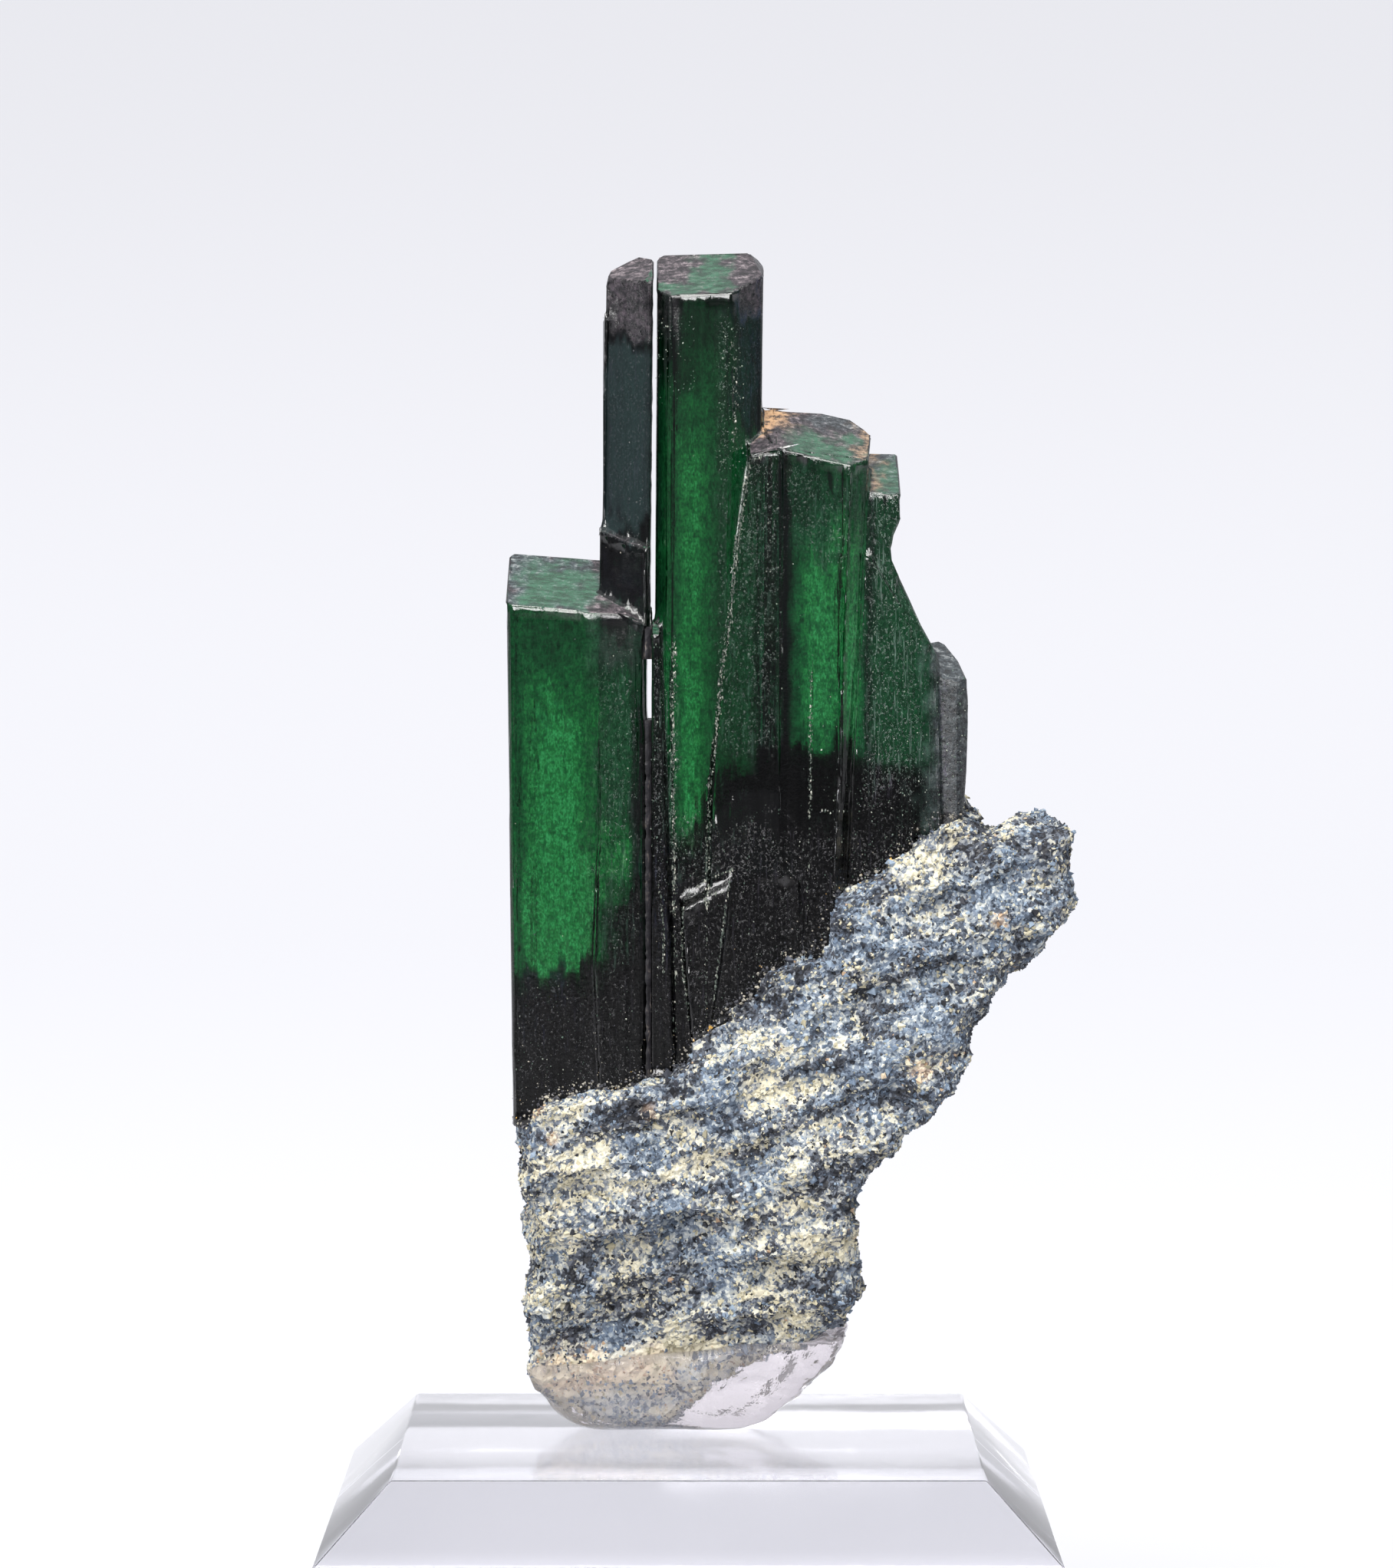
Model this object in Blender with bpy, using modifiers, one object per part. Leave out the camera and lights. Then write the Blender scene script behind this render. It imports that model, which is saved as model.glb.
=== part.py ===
"""Bladed vivianite crystals on a piece of sandstone, stood on a bevelled acrylic block with clear gel.

X runs to the right, Y away from the front and Z up. The origin is the middle of the block's underside.
"""
import math

import bmesh
import bpy
from mathutils import Matrix, Vector, noise

MM = 0.001
GAP = 0.3 * MM
WELD = 0.001 * MM

# Acrylic block
BLOCK_SIDE = 38.0 * MM
BLOCK_HEIGHT = 19.0 * MM
BLOCK_BEVEL = 3.8 * MM

# Crystals: slopes in degrees, then heights of the front edge of each end face in millimetres
TOP_SLOPE = 30.0
BACK_SLOPE = 22.0
CRYSTAL_FRONT = -4.5
WIDE_TOP = 63.45
THIN_TOP = 81.6
TALL_TOP = 79.7
STRIP_TOP = 61.9
RIGHT_TOP = 71.5
FAR_TOP = 69.35
STUB_TOP = 59.6

# How far a cutter is pushed out so that its slanting faces leave the gap
CRYSTAL_CLEARANCE = 1.6 * GAP
STONE_CLEARANCE = 1.35 * GAP

# Sandstone: its depth, and the two slabs it is made from, in millimetres
STONE_FRONT = -7.0
STONE_BACK = 7.0
FRONT_SLAB_END = 0.5
WALL_SLAB_START = 0.2
STONE_VOXEL = 1.15 * MM

# Relief of the stone: heights in millimetres, scales in waves per millimetre
BED_TILT = math.radians(16.0)
BED_WOBBLE = 0.9
BED_WOBBLE_SCALE = 0.16
LEDGE_HEIGHT = 0.35
LEDGE_PITCH = 1.9
BROAD_HEIGHT = 0.7
BROAD_SCALE = 0.21
ROUGH_HEIGHT = 0.75
ROUGH_SCALE = 0.62
CREVICE_WIDTH = 0.75
NOISE_PLACE = Vector((3.0, 1.0, 7.0))

# Front face of the stone below the crystals, then round the arm on the right, down to the foot
FRONT_TOP = [
    (-8.9, 36.9), (-7.6, 37.7), (-5.7, 38.0), (-3.9, 38.6), (-2.2, 39.3), (-0.6, 40.0), (0.9, 40.9),
    (2.1, 42.2), (3.5, 43.5), (5.0, 44.6), (6.3, 45.1), (7.4, 45.9), (8.0, 47.6), (9.0, 49.2),
    (9.9, 50.4), (11.6, 51.4), (13.0, 52.0), (14.1, 52.3)]
WALL_TOP = [
    (-8.9, 42.6), (-7.0, 43.4), (-4.9, 43.4), (-4.3, 46.9), (-2.2, 48.3), (-1.2, 50.4), (0.9, 51.1),
    (1.6, 54.0), (3.0, 55.6), (4.6, 56.6), (6.3, 55.4), (8.6, 55.2), (10.6, 54.6), (12.2, 55.0),
    (13.6, 54.9), (14.4, 53.4)]
ARM_AND_FOOT = [
    (15.2, 51.3), (16.1, 51.4), (16.9, 52.2), (18.4, 52.3), (19.3, 52.1), (20.1, 51.4), (20.5, 50.3),
    (20.5, 49.0), (20.2, 47.2), (19.2, 45.6), (17.7, 44.5), (16.5, 43.4), (15.1, 41.8), (14.4, 40.5),
    (15.0, 39.3), (14.6, 38.2), (13.6, 37.1), (12.2, 36.6), (10.8, 35.6), (10.0, 34.1), (8.9, 32.4),
    (8.7, 30.6), (9.1, 28.7), (8.8, 26.8), (8.1, 25.2), (6.0, 23.8), (3.1, 22.9), (0.9, 22.2),
    (0.1, 21.1), (-0.8, 20.5), (-3.2, 20.4), (-5.4, 20.5), (-7.1, 21.5), (-8.3, 22.7), (-8.6, 24.4),
    (-8.4, 26.5), (-8.5, 28.8), (-8.8, 32.0), (-9.0, 35.0)]

# Height, middle and half of the stone's depth
STONE_DEPTHS = [
    (20.0, 3.2, 3.4), (23.0, 2.8, 4.2), (27.0, 1.7, 5.3), (32.0, 0.8, 6.2), (37.0, 0.4, 6.6),
    (45.0, 0.4, 6.6), (52.0, 0.6, 6.1), (58.0, 0.8, 5.4)]
FOOT_LOW = 20.0
FOOT_HIGH = 27.0
FOOT_CALM = 0.3
ARM_START = 13.5
ARM_END = 21.0
ARM_THINNING = 0.45

# Left end, right end and depth of each crevice between beds, on the front and back faces
CREVICES = [
    ((-4.9, 28.9), (3.2, 31.3), 1.1), ((-6.4, 26.1), (0.9, 26.7), 0.7), ((3.3, 28.1), (8.9, 29.2), 0.8),
    ((-8.6, 32.4), (-3.6, 33.6), 0.5), ((1.0, 36.0), (6.5, 38.4), 0.6), ((6.8, 41.2), (12.5, 44.6), 0.6),
    ((-7.8, 23.9), (-2.5, 24.1), 0.5)]

# Middle, reach and height of lumps, which are pits where the height is less than nothing
LUMPS = [
    ((12.9, -6, 41.6), 2.6, 0.8), ((9.6, -6, 39.6), 2.2, 0.7), ((10.1, -6, 46.0), 2.3, 0.7),
    ((1.4, -6, 37.4), 2.0, 0.6), ((-6.6, -6, 34.6), 2.2, 0.7), ((-3.0, -5, 31.5), 2.4, 0.8),
    ((5.8, -5, 33.4), 2.6, 0.9), ((-5.4, -4, 27.8), 2.0, 0.7), ((6.6, -4, 26.8), 2.2, 0.8),
    ((-3.6, -1, 22.6), 2.6, 0.7), ((14.0, -5, 50.4), 1.5, -1.2), ((16.9, -5, 47.2), 2.2, 0.6),
    ((19.6, -4, 50.4), 1.8, 0.7), ((3.9, -6, 41.0), 1.8, -0.8), ((11.2, -6, 37.9), 1.6, -0.8),
    ((-1.2, -6, 34.2), 1.9, -0.7), ((-8.4, -3, 30.4), 1.8, -0.7), ((0.8, -4, 28.4), 1.7, -0.8),
    ((-4.0, 7, 38.0), 3.2, 1.1), ((5.0, 7, 47.0), 3.6, 1.2), ((2.0, 7, 31.0), 3.0, -1.2),
    ((11.5, 6, 43.0), 2.8, 0.9), ((-3.0, 7, 28.0), 2.6, 0.9), ((8.0, 7, 37.0), 2.4, -0.9)]

# Gel: its outline from the front, its depth and its tilted rim, in millimetres
GEL_OUTLINE = [
    (-5.8, 19.3), (3.2, 19.3), (4.7, 20.2), (6.3, 21.7), (7.6, 23.1), (8.5, 24.4), (8.9, 26.4),
    (-9.4, 26.4), (-8.9, 23.4), (-8.3, 21.7), (-7.2, 20.3)]
GEL_BOTTOM = 19.3
GEL_FRONT = -1.7
GEL_BACK = 8.2
GEL_RIM = (0.0, 0.0, 23.7)
GEL_RIM_RISE = 0.11
GEL_VOXEL = 0.9 * MM
GEL_NARROWING = 0.94
GEL_RIPPLE = 0.03
GEL_RIPPLE_PITCH = 1.3
GEL_SPREAD = 0.15
GEL_LUMPS = 0.3
GEL_LUMP_SCALE = 0.45
GEL_FLAT_PART = 0.1


def clear_scene():
    for thing in list(bpy.data.objects):
        bpy.data.objects.remove(thing)


def new_collection(name, hidden):
    collection = bpy.data.collections.new(name)
    bpy.context.scene.collection.children.link(collection)
    collection.hide_render = hidden
    return collection


def evaluated_mesh(thing):
    bpy.context.view_layer.update()
    graph = bpy.context.evaluated_depsgraph_get()
    return bpy.data.meshes.new_from_object(thing.evaluated_get(graph), depsgraph=graph)


def bake(thing):
    """Replace the object's mesh with what its modifiers make, and drop the modifiers."""
    mesh = evaluated_mesh(thing)
    thing.modifiers.clear()
    thing.data = mesh
    return thing


def tidy(thing):
    """Weld doubles and turn every face outward."""
    shape = bmesh.new()
    shape.from_mesh(thing.data)
    bmesh.ops.remove_doubles(shape, verts=shape.verts, dist=WELD)
    bmesh.ops.recalc_face_normals(shape, faces=shape.faces)
    shape.to_mesh(thing.data)
    shape.free()
    return thing


def slab(name, outline, depth, upright):
    """A flat outline in millimetres with a depth: standing in X and Z, or lying in X and Y."""
    curve = bpy.data.curves.new(name, "CURVE")
    curve.dimensions = "2D"
    curve.fill_mode = "BOTH"
    curve.extrude = 0.5 * depth * MM
    spline = curve.splines.new("POLY")
    spline.points.add(len(outline) - 1)
    for point, (across, along) in zip(spline.points, outline):
        point.co = (across * MM, along * MM, 0.0, 1.0)
    spline.use_cyclic_u = True
    guide = bpy.data.objects.new(name, curve)
    workshop.objects.link(guide)
    if upright:
        guide.rotation_euler = (0.5 * math.pi, 0.0, 0.0)
    mesh = evaluated_mesh(guide)
    mesh.transform(guide.matrix_world)
    bpy.data.objects.remove(guide)
    solid = bpy.data.objects.new(name, mesh)
    workshop.objects.link(solid)
    return tidy(solid)


def shift(thing, x=0.0, y=0.0, z=0.0):
    thing.data.transform(Matrix.Translation(Vector((x, y, z)) * MM))
    return thing


def cut_plane(thing, point, normal):
    """Cut away what lies beyond the plane, and close the cut."""
    shape = bmesh.new()
    shape.from_mesh(thing.data)
    everything = shape.verts[:] + shape.edges[:] + shape.faces[:]
    bmesh.ops.bisect_plane(
        shape, geom=everything, dist=1e-7, plane_co=Vector(point) * MM,
        plane_no=Vector(normal), clear_outer=True)
    open_edges = [edge for edge in shape.edges if edge.is_boundary]
    bmesh.ops.holes_fill(shape, edges=open_edges)
    bmesh.ops.recalc_face_normals(shape, faces=shape.faces)
    shape.to_mesh(thing.data)
    shape.free()
    return thing


def combine(target, other, operation):
    modifier = target.modifiers.new("combine", "BOOLEAN")
    modifier.operation = operation
    modifier.solver = "EXACT"
    modifier.object = other
    bake(target)
    bpy.data.objects.remove(other)
    return tidy(target)


def fuse(pieces):
    whole = pieces[0]
    for piece in pieces[1:]:
        whole = combine(whole, piece, "UNION")
    return whole


def top_plane(x, y, z, side_rise=0.0):
    """A crystal's end face: it falls toward the front, and may rise to the right."""
    fall = math.tan(math.radians(TOP_SLOPE))
    return (x, y, z), (-side_rise, -fall, 1.0)


def back_end(x, y, z):
    """The end face on a crystal's far side, which falls away from the front."""
    return (x, y, z), (0.0, math.tan(math.radians(BACK_SLOPE)), 1.0)


def blade(name, section, low, high, ends, lean=0.0, spread=0.0):
    """An upright crystal: a plan section drawn out in Z, leaning and widening upward, cut by end faces."""
    solid = slab(name, section, high - low, upright=False)
    shift(solid, z=0.5 * (low + high))
    middle = sum(point[0] for point in section) / len(section)
    for vertex in solid.data.vertices:
        rise = vertex.co.z / MM - low
        across = vertex.co.x / MM - middle
        vertex.co.x = (middle + across * (1.0 + spread * rise) + lean * rise) * MM
    for point, normal in ends:
        cut_plane(solid, point, normal)
    return solid


def relief(name, outline, front, back, ends=()):
    """A solid that is drawn by its face as seen from the front, with a front and a back in Y."""
    solid = slab(name, outline, back - front, upright=True)
    shift(solid, y=0.5 * (front + back))
    for point, normal in ends:
        cut_plane(solid, point, normal)
    return solid


def left_crystals():
    wide = blade(
        "wide_blade",
        [(-9.3, -4.15), (-9.05, -4.5), (-2.8, -4.6), (-2.39, -4.1), (-2.39, -0.4), (-2.75, 0.25), (-9.0, 0.2),
         (-9.2, -0.05)],
        low=36.0, high=68.0, lean=-0.004, spread=0.00215,
        ends=[top_plane(-9.6, CRYSTAL_FRONT, WIDE_TOP, -0.08), ((-2.6, -4.2, 62.5), (0.8, -0.3, 0.8))])
    growth_step = relief(
        "wide_blade_step",
        [(-4.7, 61.4), (-4.75, 51.0), (-5.0, 44.5), (-4.7, 37.0), (-2.7, 37.0), (-2.6, 61.0)],
        front=-4.75, back=-3.6, ends=[((-4.6, -4.75, 52.0), (0.0, -1.0, 0.03))])
    back_step = relief(
        "wide_blade_back_step", [(-8.1, 36.7), (-4.3, 36.9), (-4.1, 60.0), (-8.2, 61.0)],
        front=-0.5, back=0.8, ends=[((-6.0, 0.75, 42.0), (0.03, 1.0, 0.036))])
    thin = blade(
        "thin_blade",
        [(-4.75, -2.5), (-2.5, -4.1), (-2.35, -3.9), (-2.35, -1.6), (-3.1, -0.9), (-4.6, -1.7)],
        low=58.0, high=85.0, lean=0.016,
        ends=[((-3.0, -1.2, THIN_TOP), (-0.25, -0.5, 1.0)), ((-3.95, -2.4, 80.9), (-1.0, -0.5, 0.7))])
    thin_foot = blade(
        "thin_blade_foot",
        [(-4.85, -2.7), (-2.6, -4.35), (-2.36, -4.1), (-2.36, -2.0), (-4.7, -2.0)],
        low=58.5, high=70.0, lean=0.012, ends=[top_plane(-3.6, -3.7, 66.75)])
    knob = relief(
        "thin_blade_knob", [(-4.35, 78.5), (-3.6, 78.3), (-3.6, 79.6), (-4.2, 79.3)], front=-2.9, back=-1.6)
    return [wide, growth_step, back_step, thin, thin_foot, knob]


def main_crystals():
    tall = blade(
        "tall_blade",
        [(-2.0, -3.5), (-1.3, -4.2), (1.9, -4.25), (3.5, -2.7), (3.55, 0.2), (2.4, 1.0), (-1.0, 0.45),
         (-2.0, -0.4)],
        low=38.3, high=86.0, lean=0.0085, spread=0.0005,
        ends=[top_plane(0.6, -4.2, TALL_TOP, 0.06), ((3.75, -0.5, 81.35), (0.9, -0.2, 0.8)),
              back_end(0.5, -0.2, 81.95)])
    strip = relief(
        "strip_crystal",
        [(-2.0, 62.6), (-1.5, 62.6), (-1.3, 56.0), (-1.0, 49.0), (-0.75, 40.0), (-0.9, 38.6), (-2.0, 38.6)],
        front=-4.75, back=-3.2, ends=[top_plane(-1.8, -4.7, STRIP_TOP)])
    side = relief(
        "right_blade_side",
        [(3.15, 74.0), (3.1, 70.6), (2.55, 66.8), (2.1, 62.3), (1.7, 59.8), (1.35, 56.1), (1.1, 53.6),
         (1.0, 47.0), (0.9, 41.0), (4.95, 41.5), (5.05, 74.0)],
        front=-4.5, back=-1.0, ends=[top_plane(4.0, -4.5, 71.45, 0.18)])
    right = blade(
        "right_blade",
        [(4.5, -3.9), (4.8, -4.65), (7.4, -4.75), (8.05, -3.9), (8.15, -1.4), (7.4, -0.4), (4.6, 0.0),
         (3.9, -1.2)],
        low=43.2, high=78.0, lean=0.02, spread=0.015,
        ends=[top_plane(4.4, -4.6, RIGHT_TOP, -0.17), ((9.1, -2.0, 72.85), (0.9, -0.1, 0.75)),
              back_end(6.0, -0.6, 73.6)])
    right_step = relief(
        "right_blade_step",
        [(6.45, 60.4), (6.4, 54.0), (6.15, 45.4), (7.4, 45.6), (7.8, 54.0), (8.1, 60.4)],
        front=-4.95, back=-4.0, ends=[((7.0, -4.95, 54.0), (0.0, -1.0, 0.04))])
    far = relief(
        "far_right_blade",
        [(8.2, 60.0), (8.2, 75.0), (10.85, 75.0), (11.1, 70.3), (11.15, 68.0), (10.8, 67.2), (10.65, 66.4),
         (10.7, 65.7), (11.05, 64.9), (11.1, 60.0)],
        front=-3.6, back=0.6, ends=[top_plane(9.8, -3.5, FAR_TOP, -0.05), back_end(10.0, 0.0, 71.5)])
    shoulder = relief(
        "far_right_shoulder",
        [(7.6, 45.2), (8.0, 66.0), (10.6, 66.0), (11.05, 64.9), (11.6, 63.75), (12.2, 62.4), (12.75, 61.4),
         (13.1, 60.6), (13.4, 49.6), (9.4, 46.6)],
        front=-3.7, back=0.45,
        ends=[((11.4, -3.6, 63.0), (0.75, -0.75, 0.45)), ((12.9, -3.2, 56.0), (0.45, -1.0, 0.0))])
    stub = relief(
        "low_stub",
        [(12.3, 61.2), (13.3, 61.4), (13.6, 61.25), (14.25, 60.45), (14.7, 59.4), (14.8, 58.2), (14.7, 54.6),
         (14.4, 50.4), (12.0, 49.6)],
        front=-2.6, back=1.3,
        ends=[top_plane(13.6, -2.4, STUB_TOP, -0.25), ((14.5, -2.3, 57.0), (0.9, -0.7, 0.0)),
              ((14.5, 1.1, 57.0), (0.8, 0.8, 0.2))])
    dagger = relief(
        "dagger_crystal",
        [(-0.4, 47.9), (0.9, 49.0), (2.3, 49.6), (1.95, 46.5), (1.5, 43.4), (1.1, 41.0), (0.2, 40.4),
         (-0.1, 43.5)],
        front=-5.0, back=-3.9, ends=[top_plane(0.9, -4.95, 48.2, 0.55)])
    lower = relief(
        "lower_steps",
        [(1.1, 52.0), (2.6, 53.6), (3.1, 56.5), (4.2, 54.8), (5.8, 51.0), (6.0, 45.0), (4.8, 43.5),
         (2.0, 41.5), (0.8, 41.0)],
        front=-4.75, back=-4.0, ends=[((3.0, -4.75, 49.0), (0.0, -1.0, 0.055))])
    back_step = relief(
        "tall_blade_back_step", [(-1.2, 52.0), (2.2, 54.0), (2.5, 76.0), (-0.6, 77.5)],
        front=0.0, back=1.4, ends=[((0.5, 1.35, 53.0), (0.05, 1.0, 0.035))])
    return [tall, side, right, strip, right_step, shoulder, far, stub, dagger, lower, back_step]


def interpolate(rows, height):
    low = rows[0]
    for high in rows[1:]:
        if height <= high[0]:
            part = max(0.0, (height - low[0]) / (high[0] - low[0]))
            smooth = part * part * (3.0 - 2.0 * part)
            return [a + (b - a) * smooth for a, b in zip(low[1:], high[1:])]
        low = high
    return list(low[1:])


def thin_stone(place):
    """Draw the slab's depth in toward the foot and the end of the arm."""
    middle, half = interpolate(STONE_DEPTHS, place.z)
    along_arm = min(1.0, max(0.0, (place.x - ARM_START) / (ARM_END - ARM_START)))
    half *= 1.0 - ARM_THINNING * along_arm
    return Vector((place.x, middle + half * place.y / STONE_BACK, place.z))


def crevice_depth(place):
    depth = 0.0
    for left, right, deepest in CREVICES:
        part = (place.x - left[0]) / (right[0] - left[0])
        if 0.0 < part < 1.0:
            line = left[1] + (right[1] - left[1]) * part
            across = (place.z - line) / CREVICE_WIDTH
            depth += deepest * math.exp(-across * across) * math.sin(math.pi * part) ** 0.5
    return depth


def stone_relief(place):
    """How far the stone's surface stands out at a place, in millimetres."""
    bed = place.z * math.cos(BED_TILT) - place.x * math.sin(BED_TILT)
    wobble = BED_WOBBLE * noise.noise(place * BED_WOBBLE_SCALE)
    ledge = LEDGE_HEIGHT * math.sin(LEDGE_PITCH * (bed + wobble)) ** 3
    broad = BROAD_HEIGHT * noise.noise(place * BROAD_SCALE + NOISE_PLACE)
    rough = ROUGH_HEIGHT * noise.noise(place * ROUGH_SCALE)
    height = ledge + broad + rough - crevice_depth(place)
    for middle, reach, tall in LUMPS:
        away = (place - Vector(middle)).length / reach
        if away < 1.0:
            height += tall * (1.0 - away * away) ** 2
    calm = min(1.0, max(FOOT_CALM, (place.z - FOOT_LOW) / (FOOT_HIGH - FOOT_LOW)))
    return height * calm


def remesh(thing, voxel):
    modifier = thing.modifiers.new("voxels", "REMESH")
    modifier.mode = "VOXEL"
    modifier.voxel_size = voxel
    return bake(thing)


def keep_largest(thing):
    """Drop crumbs that a cut has parted from the main body, or left hanging by a corner."""
    shape = bmesh.new()
    shape.from_mesh(thing.data)
    waiting = set(shape.faces)
    bodies = []
    while waiting:
        stack = [waiting.pop()]
        body = list(stack)
        while stack:
            for edge in stack.pop().edges:
                for face in edge.link_faces:
                    if face in waiting:
                        waiting.discard(face)
                        body.append(face)
                        stack.append(face)
        bodies.append(body)
    bodies.sort(key=len)
    crumbs = [face for body in bodies[:-1] for face in body]
    bmesh.ops.delete(shape, geom=crumbs, context="FACES")
    shape.to_mesh(thing.data)
    shape.free()
    return thing


def swollen_copy(thing, amount):
    """A cutter that stands clear of the object all round."""
    copy = bpy.data.objects.new(thing.name + "_clearance", thing.data.copy())
    cutters.objects.link(copy)
    copy.display_type = "WIRE"
    copy.hide_render = True
    modifier = copy.modifiers.new("clearance", "DISPLACE")
    modifier.strength = amount
    modifier.mid_level = 0.0
    return bake(copy)


def sandstone(crystals):
    front = relief("stone_front", FRONT_TOP + ARM_AND_FOOT, STONE_FRONT, FRONT_SLAB_END)
    wall = relief("stone_wall", WALL_TOP + ARM_AND_FOOT, WALL_SLAB_START, STONE_BACK)
    stone = combine(front, wall, "UNION")
    remesh(stone, STONE_VOXEL)
    for vertex in stone.data.vertices:
        vertex.co = thin_stone(vertex.co / MM) * MM
    stone.data.update()
    moved = []
    for vertex in stone.data.vertices:
        moved.append(vertex.co + vertex.normal * stone_relief(vertex.co / MM) * MM)
    for vertex, place in zip(stone.data.vertices, moved):
        vertex.co = place
    for crystal in crystals:
        combine(stone, swollen_copy(crystal, CRYSTAL_CLEARANCE), "DIFFERENCE")
    return keep_largest(stone)


def lump_push(place):
    """Noise of its own along each of the three directions."""
    return Vector([noise.noise(place + number * NOISE_PLACE) for number in (1.0, 2.0, 3.0)])


def gel(stone):
    pad = relief("gel", GEL_OUTLINE, GEL_FRONT, GEL_BACK)
    remesh(pad, GEL_VOXEL)
    middle = 0.5 * (GEL_FRONT + GEL_BACK)
    for vertex in pad.data.vertices:
        place = vertex.co / MM
        rise = (place.z - GEL_BOTTOM) / (GEL_RIM[2] - GEL_BOTTOM)
        ripple = GEL_RIPPLE * math.sin(GEL_RIPPLE_PITCH * place.x)
        place.y = middle + (place.y - middle) * (GEL_NARROWING + ripple + GEL_SPREAD * rise)
        if rise > GEL_FLAT_PART:
            place += GEL_LUMPS * lump_push(place * GEL_LUMP_SCALE)
        vertex.co = place * MM
    cut_plane(pad, (0.0, 0.0, GEL_BOTTOM), (0.0, 0.0, -1.0))
    cut_plane(pad, GEL_RIM, (-GEL_RIM_RISE, 0.0, 1.0))
    combine(pad, swollen_copy(stone, STONE_CLEARANCE), "DIFFERENCE")
    return keep_largest(pad)


def acrylic_block():
    shape = bmesh.new()
    bmesh.ops.create_cube(shape, size=1.0)
    bmesh.ops.scale(shape, verts=shape.verts, vec=(BLOCK_SIDE, BLOCK_SIDE, BLOCK_HEIGHT))
    bmesh.ops.translate(shape, verts=shape.verts, vec=(0.0, 0.0, 0.5 * BLOCK_HEIGHT))
    top_edges = [edge for edge in shape.edges if all(v.co.z > 0.9 * BLOCK_HEIGHT for v in edge.verts)]
    bmesh.ops.bevel(shape, geom=top_edges, offset=BLOCK_BEVEL, segments=1, profile=0.5, affect="EDGES")
    mesh = bpy.data.meshes.new("acrylic_base")
    shape.to_mesh(mesh)
    shape.free()
    block = bpy.data.objects.new("acrylic_base", mesh)
    workshop.objects.link(block)
    return block


def material(name, colour, roughness, transmission=0.0, ior=1.5):
    result = bpy.data.materials.new(name)
    result.use_nodes = True
    shader = result.node_tree.nodes["Principled BSDF"]
    shader.inputs["Base Color"].default_value = (*colour, 1.0)
    shader.inputs["Roughness"].default_value = roughness
    shader.inputs["Metallic"].default_value = 0.0
    shader.inputs["Transmission Weight"].default_value = transmission
    shader.inputs["IOR"].default_value = ior
    return result


def finish_part(thing, name, look):
    thing.name = name
    thing.data.name = name
    thing.data.materials.clear()
    thing.data.materials.append(look)
    workshop.objects.unlink(thing)
    specimen.objects.link(thing)
    return thing


clear_scene()
specimen = new_collection("vivianite", hidden=False)
workshop = new_collection("construction", hidden=False)
cutters = new_collection("cutters", hidden=True)

left_pieces = left_crystals()
main_pieces = main_crystals()
stone = sandstone(left_pieces + main_pieces)
left_group = fuse(left_pieces)
main_group = fuse(main_pieces)
gel_pad = gel(stone)
block = acrylic_block()

crystal_look = material("vivianite_green", (0.02, 0.16, 0.05), 0.12, 0.6, 1.6)
finish_part(left_group, "left_crystal_group", crystal_look)
finish_part(main_group, "main_crystal_group", crystal_look)
finish_part(stone, "sandstone_matrix", material("sandstone", (0.36, 0.37, 0.38), 0.85))
finish_part(gel_pad, "mounting_gel", material("clear_gel", (0.93, 0.91, 0.93), 0.15, 0.9, 1.45))
finish_part(block, "acrylic_base", material("clear_acrylic", (0.95, 0.95, 0.97), 0.05, 0.95, 1.49))
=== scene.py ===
import math

import bmesh
import bpy
import numpy as np
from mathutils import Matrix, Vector, noise
from mathutils.bvhtree import BVHTree


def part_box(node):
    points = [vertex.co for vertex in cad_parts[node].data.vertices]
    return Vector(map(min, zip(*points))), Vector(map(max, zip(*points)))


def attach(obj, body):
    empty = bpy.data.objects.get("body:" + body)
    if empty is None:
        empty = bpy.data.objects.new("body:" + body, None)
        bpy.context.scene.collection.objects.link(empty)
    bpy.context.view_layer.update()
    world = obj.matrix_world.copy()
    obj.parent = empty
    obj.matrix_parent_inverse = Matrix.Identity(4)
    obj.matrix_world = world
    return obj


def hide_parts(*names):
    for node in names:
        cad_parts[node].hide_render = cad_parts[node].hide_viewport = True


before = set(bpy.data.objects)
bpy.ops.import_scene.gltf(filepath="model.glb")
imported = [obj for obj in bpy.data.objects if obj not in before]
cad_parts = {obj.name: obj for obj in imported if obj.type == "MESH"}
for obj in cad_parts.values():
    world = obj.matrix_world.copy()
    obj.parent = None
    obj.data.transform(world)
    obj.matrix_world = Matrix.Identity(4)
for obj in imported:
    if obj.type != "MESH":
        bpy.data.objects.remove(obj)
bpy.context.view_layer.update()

MM = 0.001

# Camera: where the photograph was taken from, in millimetres and degrees
CAMERA_PLACE = (0.4, -328.0, 69.6)
CAMERA_PITCH = 2.75
CAMERA_LENS = 141.7
SENSOR = 36.0

random_numbers = np.random.default_rng(41)


def linear(red, green, blue):
    """A display colour from 0 to 255 as the shader wants it."""
    result = []
    for value in (red, green, blue):
        part = value / 255.0
        result.append(part / 12.92 if part <= 0.04045 else ((part + 0.055) / 1.055) ** 2.4)
    return (*result, 1.0)


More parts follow.
